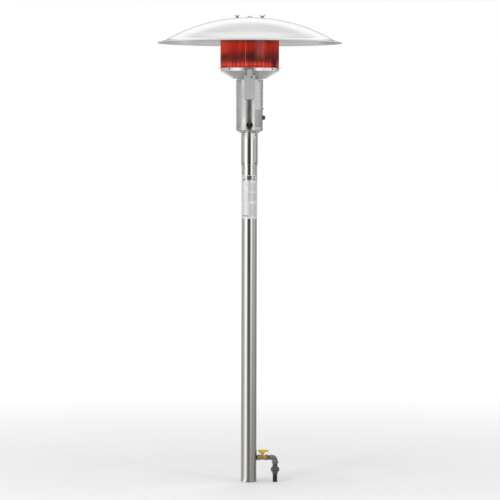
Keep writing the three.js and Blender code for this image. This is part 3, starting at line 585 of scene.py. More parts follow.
EVEN = (1, 1, 1)
DRAWN = (1, 1, 0.03)
LOOKS = {
    # Bright spun aluminium: fine concentric tool lines, a little waviness and faint smears.
    "spun": surface("spun_sheet", (0.93, 0.93, 0.93), (0.15, 0.2), (0.02, 5), (7,),
                    [(tool_rings(16, 1), 0.1, 0.5), (tool_rings(1400, 2), 0.004, 0.5)]),
    # The reflector's underside: a rougher copy of the same sheet, its darker colour painted shade for the
    # downward faces.
    "shaded_underside": surface("heated_sheet", (0.60, 0.595, 0.585), (0.36, 0.5), (0.06, 6), (12,),
                      [(tool_rings(900, 2), 0.02, 0.6)]),
    # Polished stainless tube: long faint draw lines and handling marks.
    "tube": surface("polished_tube", (0.74, 0.725, 0.70), (0.08, 0.15), (0.04, 9, (1, 1, 0.12)),
                    (60, (1, 1, 0.06)),
                    [(grain(14, (1, 1, 0.2), 1), 0.12, 0.5), (grain(900, (1, 1, 0.01), 2), 0.012, 0.5)]),
    # Stainless sheet with a fine hammered emboss, so its highlights break into grains.
    "embossed": surface("embossed_sheet", (0.60, 0.595, 0.585), (0.17, 0.27), (0.08, 60), (40,),
                        [(pits(380), 0.35, 0.6), (grain(520, EVEN, 2), 0.12, 0.5)]),
    "satin": sheet("satin_sheet", (0.56, 0.56, 0.565), DRAWN, (0.32, 0.44)),
    "cone": sheet("spun_satin", (0.60, 0.60, 0.61), EVEN, (0.22, 0.3)),
    # The pan's upright band: the cone's sheet, smoother, and painted brighter to stand in for the highlights
    # on the rim.
    "band": sheet("highlight_band", (0.82, 0.82, 0.80), DRAWN, (0.16, 0.24)),
    "panel": sheet("folded_sheet", (0.50, 0.50, 0.505), DRAWN, (0.44, 0.54)),
    "cover": sheet("cover_sheet", (0.58, 0.575, 0.57), DRAWN, (0.5, 0.6), 0.55),
    # Fastener steel, darkened as painted shade: screw heads, nuts and studs are coloured as dark as the
    # shadows and dark reflections round them.
    "fastener": surface("fastener_steel", (0.27, 0.26, 0.235), (0.26, 0.46), (0.16, 240), (300,),
                        [(grain(900), 0.04, 0.6)]),
    "screen": glowing_screen("glowing_screen", 0.9),
    "liner": glowing_screen("glowing_liner", 1.25),
    "seam": hot_seam(),
    "black": plastic("black_plastic", (0.010, 0.010, 0.011), coat=0.2),
    "yellow": plastic("yellow_plastic", (0.70, 0.395, 0.0005), (0.45, 0.6), 0.04),
    "pointer": plastic("pointer_inlay", (0.30, 0.30, 0.31)),
    "red": plastic("red_inlay", (0.52, 0.03, 0.025)),
    "grey": plastic("grey_inlay", (0.16, 0.16, 0.17)),
    "brass": surface("cast_brass", (0.72, 0.54, 0.28), (0.28, 0.5), (0.2, 140), (160,),
                     [(grain(800, EVEN, 4), 0.08, 0.6)]),
    "iron": malleable_iron("malleable_iron", (0.19, 0.18, 0.17)),
    "cast": malleable_iron("cast_elbow", (0.30, 0.29, 0.27)),
    "pipe": surface("black_pipe", (0.022, 0.022, 0.023), (0.3, 0.5), (0.3, 60, (1, 1, 0.2)),
                    (90, (1, 1, 0.3)),
                    [(grain(500, (1, 1, 0.3)), 0.08, 0.6)], 0.2, Coat_Weight=0.4, Coat_Roughness=0.2),
    "copper": surface("drawn_copper", (0.66, 0.36, 0.22), (0.25, 0.42), (0.14, 60), (90,)),
    "rubber": surface("dark_rubber", (0.02, 0.018, 0.016), (0.75,), (0.2, 120), None,
                      [(grain(700, EVEN, 4), 0.08, 0.7)], 0.0),
    "ceramic": surface("glazed_white", (0.84, 0.81, 0.74), (0.25,), (0.05, 120), metal=0.0),
    "label": foil("label_foil", (0.70, 0.70, 0.705)),
    "label_panel": foil("label_panel", (0.58, 0.57, 0.58), 0.45),
    "label_dark": foil("label_dark", (0.07, 0.07, 0.075), 0.4, 0.1),
}
SLOT_LOOKS = {
    "bright_sheet": "spun", "polished_steel": "tube", "hammered_steel": "embossed",
    "satin_steel": "satin", "fastener_steel": "fastener", "glowing_screen": "screen",
    "black_plastic": "black", "brass": "brass", "ball_steel": "tube", "yellow_handle": "yellow",
    "black_pipe": "pipe", "malleable_iron": "iron", "copper_tube": "copper",
    "white_ceramic": "ceramic", "black_rubber": "rubber", "label_foil": "label",
}


def dress_frame_nodes():
    """Gives every CAD node its material; the nodes that stay visible keep it."""
    for part in frame["record"]["subparts"]:
        node = frame["nodes"][part["node"]]
        look = LOOKS[SLOT_LOOKS[part["material_slot"]]]
        if not node.data.materials:
            node.data.materials.append(look)
        for slot in node.material_slots:
            slot.material = look


# ---------- fasteners


def pan_screw_mesh():
    """A pan-head screw along +Z with a cross recess, its head's underside at z = 0."""
    head = turned([(0, -8), (1.4, -8), (1.9, -7), (1.9, 0), (4, 0), (4, 1.1, 0.9),
                   (2.6, 2.2, 1.2), (0, 2.35)], 40, 0.15)
    obj = new_object("screw_pattern", head)
    cut(obj, block((-2.3, -0.45, 1.1), (2.3, 0.45, 4)), block((-0.45, -2.3, 1.1), (0.45, 2.3, 4)))
    mesh = obj.data
    mesh.name = "pan_screw"
    mesh.materials.clear()
    mesh.materials.append(LOOKS["fastener"])
    mesh.shade_smooth()
    mesh.set_sharp_from_angle(angle=math.radians(32))
    bpy.data.objects.remove(obj)
    return mesh


def add_screws():
    """One shared screw at every CAD screw, its head facing away from the heater's axis."""
    mesh = pan_screw_mesh()
    for name in sorted(frame["nodes"]):
        if "screw" not in name or name == "handle_screw":
            continue
        centre = middle(name)
        outward = Vector((centre.x, centre.y, 0)).normalized()
        if name == "pilot_cover_screw":
            outward = Vector((0, -1, 0))
        obj = linked(f"{name}_detail", mesh)
        obj.rotation_mode = "QUATERNION"
        obj.rotation_quaternion = outward.to_track_quat("Z", "Y")
        obj.location = seat_of(name, centre, outward) * MM
        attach(obj, ROOT)
        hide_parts(name)


def seat_of(name, centre, outward):
    """The underside of a screw's head: a gap off the wall that it clamps."""
    if name == "pilot_cover_screw":
        return Vector((centre.x, low("pilot_cover").y - GAP, centre.z))
    walls = {"pan": PAN_R, "housing": HOUSING_R, "side": HOUSING_R, "sleeve": SLEEVE_R}
    return outward * (walls[name.split("_")[0]] + GAP) + Vector((0, 0, centre.z))


# ---------- reflector

DOME_SPHERE = 778
DOME_CREASE = 394
DOME_RINGS = (358, 374)
SHEET = 1.2
STUD_HOLE = 3.3
STUD_CIRCLE = 72
WING_TURNS = (50, 0, 44)
EDGE_ROLL = 1.9


def dome_height(radius):
    return high("reflector").z - DOME_SPHERE + math.sqrt(DOME_SPHERE ** 2 - radius ** 2)


def dome_profile():
    """The top face from the apex to the rolled edge: the cap, two pressed rings and the brim."""
    points = []
    steps = 40
    for step in range(steps):
        radius = DOME_CREASE * step / steps
        if all(abs(radius - ring) > 6 for ring in DOME_RINGS):
            points.append((radius, dome_height(radius), 0))
    for ring in DOME_RINGS:
        points += [(ring - 4, dome_height(ring - 4), 3),
                   (ring, dome_height(ring) + 1.0, 4),
                   (ring + 4, dome_height(ring + 4), 3)]
    edge = low("reflector").z + 2 * EDGE_ROLL
    points.append((DOME_CREASE, dome_height(DOME_CREASE), 9))
    points.append((RIM_R - EDGE_ROLL, edge, 0))
    return sorted(points)


def stud_holes(z, reach):
    """Clearance holes for the three studs, through the sheet at a height."""
    hole = rod(STUD_HOLE, -reach, reach, 24)
    return [moved(hole, (*middle(f"reflector_stud_{i}").xy, z)) for i in (1, 2, 3)]


def add_reflector():
    top = fillet(dome_profile(), 0, 5)
    under = [(radius, height - SHEET) for radius, height in top]
    roll = arc((RIM_R - EDGE_ROLL, low("reflector").z + EDGE_ROLL), EDGE_ROLL, -150, 88, 12)
    obj = new_object("reflector_shell", turned(under[:-1] + roll + top[::-1], 224, 0))
    cut(obj, *stud_holes(high("reflector").z, 30))
    finish_piece(obj, "spun", "reflector", sharp=50)
    # The downward faces take the darker copy: painted shade under the dome.
    paint(obj, "shaded_underside", lambda face: face.normal.z < 0)


def wing_nut(name):
    """A stamped wing nut about Z with its foot at z = 0."""
    hub = turned([(0, 0), (6, 0), (6, 1.2), (4.7, 6.6, 1), (0, 6.6)], 40, 0.4)
    edge = [(2.2, 1.2), (5.6, 1.4), (8.6, 3.6), (11.2, 7.6), (13.7, 11.0, 0.8), (12.6, 13.6, 2.2),
            (10.2, 12.6, 2), (7.2, 7.6), (2.2, 5.9)]
    outline = [(x, y, radius[0] if radius else 1.4) for x, y, *radius in edge]
    wing = moved(prism(outline, -1.05, 1.05, 1, 4), turn=(90, 0, 0))
    obj = new_object(name, hub)
    join(obj, wing, moved(wing, turn=(0, 0, 180)))
    cut(obj, rod(2.9, -1, 9, 24))
    return soften(obj, 0.24, 3)


def add_wing_nuts():
    first = wing_nut("reflector_wing_nut_detail_1")
    for index, turn in enumerate(WING_TURNS, 1):
        node = f"reflector_wing_nut_{index}"
        obj = linked(f"reflector_wing_nut_detail_{index}", first.data) if index > 1 else first
        obj.location = Vector((*middle(f"reflector_stud_{index}").xy, low(node).z)) * MM
        obj.rotation_euler.z = math.radians(turn)
        finish_piece(obj, "fastener", node, sharp=60)


def add_studs():
    """Shouldered studs with real threads at both ends."""
    for index in (1, 2, 3):
        node = f"reflector_stud_{index}"
        lo, hi = box(node)
        seat = high("emitter_cap").z + GAP
        shoulder_top = dome_height(STUD_CIRCLE) - SHEET - 1.0
        body = rod(6.4, seat, shoulder_top, 48, 0.7)
        ends = [thread(2.95, 0, 1, 0.55, *span, 24) for span in ((shoulder_top, hi.z), (lo.z, seat))]
        piece(node, moved(together(body, *ends), (*middle(node).xy, 0)), "fastener", sharp=40)


# ---------- emitter and pan

SCREEN_CELLS = 126
SCREEN_ROWS = 30
SCREEN_HOLE = 2.1
SCREEN_SHEET = 0.55
SCREEN_MARGIN = 8
SEAM_ANGLE = -8.2
SEAM_WIDTH = 2.4


def perforated_wall(radius, bottom, top):
    """A round wall pierced in staggered rows, with plain margins above and below."""
    verts, faces = [], []
    step_angle = TAU / SCREEN_CELLS
    first, last = bottom + SCREEN_MARGIN, top - SCREEN_MARGIN
    row_height = (last - first) / SCREEN_ROWS

    def put(angle, height):
        verts.append((radius * math.cos(angle), radius * math.sin(angle), height))
        return len(verts) - 1

    for row in range(SCREEN_ROWS):
        middle_z = first + (row + 0.5) * row_height
        for cell in range(SCREEN_CELLS):
            centre = (cell + 0.5 * (row % 2)) * step_angle
            outer, inner = [], []
            for corner in range(8):
                x, y = ((1, 0), (1, 1), (0, 1), (-1, 1), (-1, 0), (-1, -1), (0, -1), (1, -1))[corner]
                outer.append(put(centre + x * step_angle / 2, middle_z + y * row_height / 2))
                turn = TAU * corner / 8
                inner.append(put(centre + SCREEN_HOLE / radius * math.cos(turn),
                                 middle_z + SCREEN_HOLE * math.sin(turn)))
            for corner in range(8):
                after = (corner + 1) % 8
                faces.append((outer[corner], outer[after], inner[after], inner[corner]))
    for low_z, high_z, shift in ((bottom, first, 0), (last, top, (SCREEN_ROWS - 1) % 2)):
        for half in range(2 * SCREEN_CELLS):
            a = (half + shift) * step_angle / 2
            b = a + step_angle / 2
            faces.append((put(a, low_z), put(b, low_z), put(b, high_z), put(a, high_z)))
    return verts, faces


def add_screen():
    lo, hi = box("emitter_screen")
    obj = new_object("emitter_perforated_screen", perforated_wall(SCREEN_R - 0.05, lo.z, hi.z))
    modify(obj, "SOLIDIFY", thickness=SCREEN_SHEET * MM, offset=-1)
    finish_piece(obj, "screen", "emitter_screen", sharp=50)
    liner = tube(SCREEN_R - 0.75, SCREEN_R - 1.2, lo.z + 0.5, hi.z - 0.5, SCREEN_CELLS, 0.1)
    finish_piece(new_object("emitter_liner", liner), "liner", slot="glowing_screen")
    half = math.degrees(SEAM_WIDTH / 2 / SCREEN_R)
    corners = ((-half, 0.05), (half, 0.05), (half, 0.8), (-half, 0.8))
    outline = [tuple(polar(SEAM_ANGLE + turn, SCREEN_R + lift).xy) for turn, lift in corners]
    strip = new_object("emitter_screen_seam", prism(outline, lo.z + 1, hi.z - 13))
    finish_piece(bevel(strip, 0.25), "seam", slot="glowing_screen")


def add_emitter_cap():
    lo, hi = box("emitter_cap")
    inner = hi.x - 1.5
    outline = [(0, hi.z - 1.6), (inner, hi.z - 1.6), (inner, lo.z), (hi.x, lo.z), (hi.x, hi.z, 3),
               (118, hi.z, 2), (114, hi.z - 0.7, 2), (0, hi.z - 0.7)]
    obj = new_object("emitter_cap_detail", turned(outline, 144, 0.3, steps=4))
    cut(obj, *stud_holes(hi.z, 20))
    finish_piece(obj, "satin", "emitter_cap")


def add_base_ring():
    """The ring that locates the screen, with its four rounded ears."""
    lo, hi = box("emitter_base_ring")
    plate_top = lo.z + 1.9
    locate, inner = SCREEN_R - 1.6, 122
    outline = [(inner, lo.z), (PAN_R + 0.5, lo.z, 0.4), (PAN_R + 0.5, plate_top, 0.4),
               (locate, plate_top, 0.6), (locate, hi.z, 0.4), (locate - SHEET, hi.z, 0.4),
               (locate - SHEET, plate_top, 0.6), (inner, plate_top)]
    obj = new_object("emitter_base_ring_detail", turned(outline, 144, 0.3, True))
    reach, half, start = hi.x, 10.5, PAN_R - 8
    ear = prism([(start, -half, 0), (reach, -half, 6), (reach, half, 6), (start, half, 0)],
                lo.z + 0.02, plate_top - 0.02)
    hole = moved(rod(2.6, -5, 5, 24), (reach - 6, 0, lo.z))
    for turn in (0, 90, 180, 270):
        join(obj, moved(ear, turn=(0, 0, turn)))
        cut(obj, moved(hole, turn=(0, 0, turn)))
    finish_piece(obj, "satin", "emitter_base_ring")


PAN_WAIST = 78
PAN_CONE_TOP = 1927.6


def add_pan():
    lo, hi = box("burner_pan")
    rim = hi.x
    outline = [(24, lo.z), (PAN_WAIST, lo.z, 3), (rim, PAN_CONE_TOP, 1.6), (rim, hi.z, 0.5),
               (rim - SHEET, hi.z, 0.5), (rim - SHEET, PAN_CONE_TOP + 0.7, 1),
               (PAN_WAIST - 0.4, lo.z + SHEET, 2), (24, lo.z + SHEET)]
    obj = new_object("burner_pan_detail", turned(outline, 192, 0.4, True, steps=5))
    cut(obj, block((-11, -128, lo.z - 5), (11, -86, PAN_CONE_TOP - 1)))
    finish_piece(obj, "cone", "burner_pan")
    # The upright rim faces take the brighter copy: a painted highlight on the band.
    paint(obj, "band", lambda face: abs(face.normal.z) < 0.3 and face.center.xy.length > (PAN_R - 0.5) * MM)


# ---------- housing

# Angles are degrees from the front towards +X.
PANEL_FROM = 24
PANEL_TO = 156
PANEL_WINDOW_TOP = 1748
PANEL_SCREW_Z = 1753
VENT_ANGLE = -27.5
VENT_TOP = 1840
VENT_PITCH = 11
COLLAR_LOW = 1652.8
COLLAR_HIGH = 1663.7
BEYOND = 90


def sector(start, end, radius, bottom, top, steps=14):
    """A wedge of space about Z between two angles from the front."""
    rim = [tuple(polar(start + (end - start) * step / steps, radius).xy) for step in range(steps + 1)]
    return prism([(0.0, 0.0)] + rim, bottom, top)


def radial_rod(radius, degrees, z, start, end, sides=24):
    bar = moved(rod(radius, start, end, sides, 0), turn=(90, 0, 0))
    return moved(bar, (0, 0, z), (0, 0, degrees))


def add_housing():
    lo, hi = box("control_housing")
    inner = HOUSING_R - 1.5
    outline = [(inner, lo.z), (HOUSING_R, lo.z, 0.4), (HOUSING_R, hi.z, 1.2), (inner, hi.z, 0.4)]
    obj = new_object("control_housing_detail", turned(outline, 160, 0.3, True))
    near, far = HOUSING_R - 10, HOUSING_R + 10
    window = sector(PANEL_FROM, PANEL_TO, BEYOND, lo.z - 5, PANEL_WINDOW_TOP)
    pilot = block((-17, -far, 1800), (17, -near + 8, 1868))
    vents = [radial_rod(1.8, VENT_ANGLE, VENT_TOP - VENT_PITCH * i, near, far) for i in range(4)]
    cut(obj, window, pilot, radial_rod(6.6, 0, KNOB_Z, near, far, 40), *vents)
    finish_piece(obj, "embossed", "control_housing")


def add_side_panel():
    lo, hi = box("side_panel")
    radius = HOUSING_R - 1.8
    outline = [(radius - SHEET, lo.z), (radius, lo.z, 0.4), (radius, hi.z, 0.4), (radius - SHEET, hi.z)]
    obj = new_object("side_panel_detail", turned(outline, 160, 0.3, True))
    common(obj, sector(PANEL_FROM - 4, PANEL_TO + 4, BEYOND, lo.z - 5, hi.z + 5))
    cut(obj, radial_rod(7.3, 90, IGNITER_Z, 50, 70, 40), radial_rod(2.2, 90, PANEL_SCREW_Z, 50, 70))
    finish_piece(obj, "panel", "side_panel")


def add_base():
    lo, hi = box("housing_base")
    spigot, neck = HOUSING_R - 1.8, SLEEVE_R + GAP
    outline = [(neck, lo.z, 0.5), (HOUSING_R, COLLAR_LOW, 2.2), (HOUSING_R, COLLAR_HIGH, 0.5),
               (spigot, COLLAR_HIGH, 0), (spigot, hi.z), (spigot - SHEET, hi.z),
               (spigot - SHEET, COLLAR_LOW + SHEET, 2), (neck, lo.z + 1.6, 0.4)]
    piece("housing_base", turned(outline, 160, 0.3, True, steps=5), "embossed")


def cone_clearance():
    """The space that the burner pan fills, with a little room round it."""
    room = 0.5
    lo, hi = box("burner_pan")
    return turned([(0, lo.z - room), (PAN_WAIST, lo.z - room), (PAN_R + room, PAN_CONE_TOP - room),
                   (PAN_R + room, hi.z + 30), (0, hi.z + 30)], 128, 0)


def add_pilot_cover():
    """The folded box in front: a U of sheet, cut to the housing behind it and to the cone above it."""
    lo, hi = box("pilot_cover")
    half, front, back, fold = hi.x, -lo.y, 50, 2.6
    outline = [(-half, -back, 0), (-half, -front, fold), (half, -front, fold), (half, -back, 0),
               (half - SHEET, -back, 0), (half - SHEET, -front + SHEET, fold - SHEET),
               (-half + SHEET, -front + SHEET, fold - SHEET), (-half + SHEET, -back, 0)]
    obj = new_object("pilot_cover_detail", prism(outline, lo.z, hi.z, 0, 6))
    cut(obj, cone_clearance(), rod(HOUSING_R + GAP, lo.z - 10, hi.z, 128, 0))
    finish_piece(bevel(obj, 0.25, 2, 50), "cover", "pilot_cover")


def add_cover_neck():
    """The narrow channel that carries the cover on, up the cone, to the pan's band."""
    lo, hi = box("pilot_cover_neck")
    half, near, far = hi.x, -hi.y, -lo.y
    foot = low("burner_pan").z
    slope = (PAN_CONE_TOP - foot) / (PAN_R - PAN_WAIST)
    cone_far, cone_near = [foot + (y - PAN_WAIST) * slope for y in (far, near)]
    side = [(near, lo.z, 1), (far, cone_far - 9, 7), (far, hi.z, 1.5), (far - 2.4, hi.z, 0.5),
            (far - 2.4, hi.z - 3, 0.5), (near, cone_near - 1, 0.5)]
    obj = new_object("pilot_cover_neck_detail", moved(prism(side, -half, half, 0, 6), turn=(90, 0, -90)))
    inside = [(near - 5, cone_near - 5 * slope - 8.4, 0), (far - SHEET, cone_far - 7.1, 6),
              (far - SHEET, hi.z + 5, 0), (near - 5, hi.z + 5, 0)]
    hollow = moved(prism(inside, -half + SHEET, half - SHEET, 0, 6), turn=(90, 0, -90))
    cut(obj, hollow, cone_clearance())
    finish_piece(bevel(obj, 0.25, 2, 50), "cover", "pilot_cover_neck")


# ---------- controls


def add_knob():
    """A moulded knob: a fluted skirt, a grip bar across it and a pale pointer line."""
    lo, hi = box("control_knob")
    radius, back, front = hi.x, -hi.y, -lo.y
    depth = front - back
    outline = [(0, 0), (radius - 0.6, 0), (radius, 1.2, 0.6), (radius, 4.2, 1), (radius - 2.2, 8, 1.6),
               (0, 7)]
    obj = new_object("control_knob_detail", turned(outline, 120, 0.4, steps=5))
    half, end = 4.3, radius - 1.2
    join(obj, prism([(-half, -end, 3.4), (half, -end, 3.4), (half - 0.6, 0, 6), (half, end, 3.4),
                     (-half, end, 3.4), (-half + 0.6, 0, 6)], 2, depth, 0, 6))
    flute = rod(1.25, -1, 5.4, 16, 0)
    flutes = [moved(flute, (x, y, 0)) for x, y in polygon(24, radius + 0.75, math.pi / 24)]
    cut(obj, together(*flutes), rod(7, -1, 5, 32), rod(3.8, -1, 13, 24))
    bevel(obj, 0.45, 3, 50)
    place(obj, (0, -back, KNOB_Z), (90, 0, 0))
    finish_piece(obj, "black", "control_knob", "knob", sharp=40)
    stripe = [(-0.55, 4), (0.55, 4), (0.55, end - 0.6), (-0.55, end - 0.6)]
    line = new_object("knob_pointer", prism(stripe, depth - 0.4, depth + 0.02, 0.3))
    place(line, (0, -back, KNOB_Z), (90, 0, 0))
    finish_piece(line, "pointer", body="knob", slot="black_plastic")


def add_markers():
    """A grey and a red marker either side of the knob."""
    dot = turned([(0, -0.6), (1.9, -0.6), (1.9, 0.25, 0.3), (1.2, 0.7, 0.5), (0, 0.8)], 32, 0.1)
    dot = moved(dot, (0, -HOUSING_R, 0), (90, 0, 0))
    for name, degrees, look in (("knob_marker_left", -22.2, "grey"), ("knob_marker_right", 22.2, "red")):
        obj = new_object(name, moved(dot, (0, 0, KNOB_Z), (0, 0, degrees)))
        finish_piece(obj, look, slot="black_plastic")


def add_igniter():
    lo, hi = box("igniter_body")
    face = HOUSING_R - 1.5
    bezel, barrel, bore, well = hi.y, 7, 4.9, high("igniter_button").y + GAP
    outline = [(bore, lo.x), (barrel, lo.x), (barrel, face), (bezel, face, 0.3), (bezel, face + 2.2, 0.6),
               (bezel - 0.8, hi.x, 0.5), (well, hi.x, 0.3), (well, hi.x - 4), (bore, hi.x - 4)]
    body = new_object("igniter_body_detail", along_x(turned(outline, 72, 0.3, True), IGNITER_Z))
    join(body, along_x(prism(polygon(6, 10.4), 52, 56), IGNITER_Z))
    finish_piece(body, "black", "igniter_body")
    lo, hi = box("igniter_button")
    radius, flange = hi.y, hi.x - 5.8
    outline = [(0, lo.x), (4.5, lo.x), (4.5, flange), (radius, flange, 0.3), (radius, hi.x - 1.2, 1.4),
               (radius - 2.4, hi.x - 0.2, 1.5), (radius - 4, hi.x - 0.8, 3), (0, hi.x - 1.1)]
    button = along_x(turned(outline, 72, 0.3, steps=5), IGNITER_Z)
    piece("igniter_button", button, "black", body="igniter")


# ---------- post, sleeve and labels

PATCH_STEP = 2.2


def stadium(half_width, half_height, steps=16):
    straight = half_height - half_width
    return arc((0, straight), half_width, 0, 180, steps) + arc((0, -straight), half_width, 180, 360, steps)


def gas_slot(inset, start, end):
    """The upright slot through the post's +X wall."""
    lo, hi = box("pipe_grommet")
    room = GAP - inset
    slab = prism(stadium(hi.y + room, (hi.z - lo.z) / 2 + room), start, end)
    return moved(moved(slab, turn=(90, 0, 0)), (0, 0, (lo.z + hi.z) / 2), (0, 0, 90))


def add_post():
    lo, hi = box("post")
    outline = [(POST_R - 3, lo.z), (POST_R, lo.z, 0), (POST_R, hi.z, 0.6), (POST_R - 3, hi.z, 0.4)]
    obj = new_object("post_detail", turned(outline, 128, 0, True))
    cut(obj, gas_slot(0, 20, 50))
    finish_piece(obj, "tube", "post")


def add_sleeve():
    lo, hi = box("head_sleeve")
    bore = SLEEVE_R - 2.6
    outline = [(bore, lo.z, 0.2), (SLEEVE_R, lo.z, 0.9), (SLEEVE_R, hi.z), (bore, hi.z)]
    piece("head_sleeve", turned(outline, 128, 0.2, True, steps=4), "tube")


def curved_patch(name, start, end, bottom, top, lift, thickness, look, corner=2):
    """A thin sheet wrapped on the post between two angles, with rounded corners."""
    radius = POST_R + lift
    width, height = math.radians(end - start) * radius, top - bottom
    outline = fillet([(0, 0), (width, 0), (width, height), (0, height)], corner, 5, True)
    mesh = bmesh.new()
    mesh.faces.new([mesh.verts.new((x, y, 0)) for x, y in outline])
    columns = max(2, round(width / PATCH_STEP))
    for column in range(1, columns):
        bmesh.ops.bisect_plane(mesh, geom=mesh.verts[:] + mesh.edges[:] + mesh.faces[:],
                               plane_co=(width * column / columns, 0, 0), plane_no=(1, 0, 0))
    for vert in mesh.verts:
        x, y, _ = vert.co
        vert.co = polar(start + math.degrees(x / radius), radius, bottom + y) * MM
    made = bmesh.ops.extrude_face_region(mesh, geom=mesh.faces[:])
    for vert in [v for v in made["geom"] if isinstance(v, bmesh.types.BMVert)]:
        vert.co.xy *= (radius + thickness) / radius
    bmesh.ops.recalc_face_normals(mesh, faces=mesh.faces[:])
    data = bpy.data.meshes.new(name)
    mesh.to_mesh(data)
    mesh.free()
    return finish_piece(linked(name, data), look, slot="label_foil")


def add_labels():
    """A blank silver label round the front of the post, with plain panels, and a strip of pads above."""
    lo, hi = box("rating_label")
    thickness, height = 0.35, hi.z - lo.z
    label = curved_patch("rating_label_detail", -104, 104, lo.z, hi.z, 0.32, thickness, "label", 3)
    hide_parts("rating_label")
    panels = (("upper", -8, 62, 0.72, 0.95, "label_panel"), ("middle", -8, 62, 0.46, 0.68, "label_panel"),
              ("lower", 0, 62, 0.06, 0.40, "label_panel"), ("foot", -60, -6, 0.065, 0.085, "label_dark"))
    for name, start, end, bottom, top, look in panels:
        curved_patch(f"rating_label_panel_{name}", start, end, lo.z + height * bottom, lo.z + height * top,
                     thickness + 0.33, 0.04, look)
    strip_low, tall = hi.z + 3, 24
    curved_patch("upper_label_strip", -64, 60, strip_low, strip_low + tall, 0.05, 0.2, "label", 1.5)
    marks = ((-46, -40, 0.60, 0.84), (-50, -34, 0.12, 0.36), (-17, 17, 0.10, 0.92), (26, 50, 0.66, 0.84),
             (26, 50, 0.40, 0.54), (22, 50, 0.12, 0.28))
    for index, (start, end, bottom, top) in enumerate(marks, 1):
        curved_patch(f"upper_label_mark_{index}", start, end, strip_low + tall * bottom,
                     strip_low + tall * top, 0.26, 0.04, "label_dark", 1)


def add_grommet():
    lo, hi = box("pipe_grommet")
    obj = new_object("pipe_grommet_detail", gas_slot(GAP, 20, 50))
    common(obj, tube(POST_R + 0.4, POST_R - 3, lo.z - 5, hi.z + 5, 128, 0))
    cut(obj, along_x(rod(PIPE_R + 0.2, 0, 60, 40)))
    finish_piece(bevel(obj, 0.5, 3, 50), "rubber", "pipe_grommet", sharp=40)


# ---------- gas line

BORE = 7.9
SOCKET = 11
NPT_PITCH = 1.81


def along_x(shape, z=GAS_Z, x=0):
    return moved(shape, (x, 0, z), (0, 90, 0))


def on_riser(shape):
    return moved(shape, (GAS_X, 0, 0))


def on_stem(shape):
    return moved(shape, (STEM_X, 0, 0))


def pipe_thread(bottom, top):
    return thread(PIPE_R - 0.05, BORE, NPT_PITCH, 0.9, bottom, top, 48)


def chamfered_prism(sides, corner, bottom, top, chamfer, turn=0.0):
    """A many-sided bar whose end corners are turned off, as on a nut."""
    obj = new_object("nut_blank", prism(polygon(sides, corner, turn), bottom, top))
    flat = corner * math.cos(math.pi / sides)
    drop = (corner - flat) * chamfer
    common(obj, turned([(0, bottom), (flat, bottom), (corner + 0.2, bottom + drop),
                        (corner + 0.2, top - drop), (flat, top), (0, top)], 72, 0))
    verts = [tuple(v.co / MM) for v in obj.data.vertices]
    faces = [tuple(p.vertices) for p in obj.data.polygons]
    bpy.data.objects.remove(obj)
    return verts, faces


def add_nipples():
    lo, hi = box("valve_nipple")
    plain_end = hi.x - 16
    body = tube(PIPE_R - 0.05, BORE, lo.x, plain_end, 48)
    piece("valve_nipple", along_x(together(body, pipe_thread(plain_end, hi.x))), "pipe", sharp=60)
    lo, hi = box("riser_pipe")
    plain_end = hi.z - 13
    body = tube(PIPE_R - 0.05, BORE, lo.z, plain_end, 64)
    piece("riser_pipe", on_riser(together(body, pipe_thread(plain_end, hi.z))), "pipe", sharp=60)


def add_valve():
    """The ball valve: hexagonal ends with turned corners, a cast waist and the neck of the stem."""
    lo, hi = box("ball_valve_body")
    corner = (hi.y - lo.y) / 2 / math.cos(math.pi / 6) - 0.2
    hex_length, ball = 14, 9.6
    waist = turned([(0, lo.x + 3), (11.9, lo.x + 3), (11.9, lo.x + 15, 3), (10.6, STEM_X - 9, 4),
                    (11.4, STEM_X, 8), (10.6, STEM_X + 9, 4), (11.9, hi.x - 15, 3), (11.9, hi.x - 3),
                    (0, hi.x - 3)], 64, 0.5, steps=6)
    neck = turned([(0, GAS_Z), (10.5, GAS_Z), (9.4, GAS_Z + 9, 3), (6.6, GAS_Z + 12.5, 1), (6.4, hi.z),
                   (0, hi.z)], 48, 0.3)
    obj = new_object("ball_valve_detail", along_x(waist))
    for start in (lo.x, hi.x - hex_length):
        join(obj, along_x(chamfered_prism(6, corner, start, start + hex_length, 1.0)))
    join(obj, on_stem(neck))
    cavity = turned([(0, -ball)] + arc((0, 0), ball, -75, 75, 10) + [(0, ball)], 32, 0)
    sockets = [along_x(rod(SOCKET, *span, 48, 0))
               for span in ((lo.x - 2, lo.x + hex_length), (hi.x - hex_length, hi.x + 2))]
    cut(obj, along_x(rod(6.3, lo.x - 2, hi.x + 2, 40, 0)), *sockets, moved(cavity, (STEM_X, 0, GAS_Z)),
        on_stem(rod(3.7, GAS_Z, hi.z + 5, 24, 0)))
    finish_piece(soften(obj, 0.45, 2), "brass", "ball_valve_body", sharp=75)


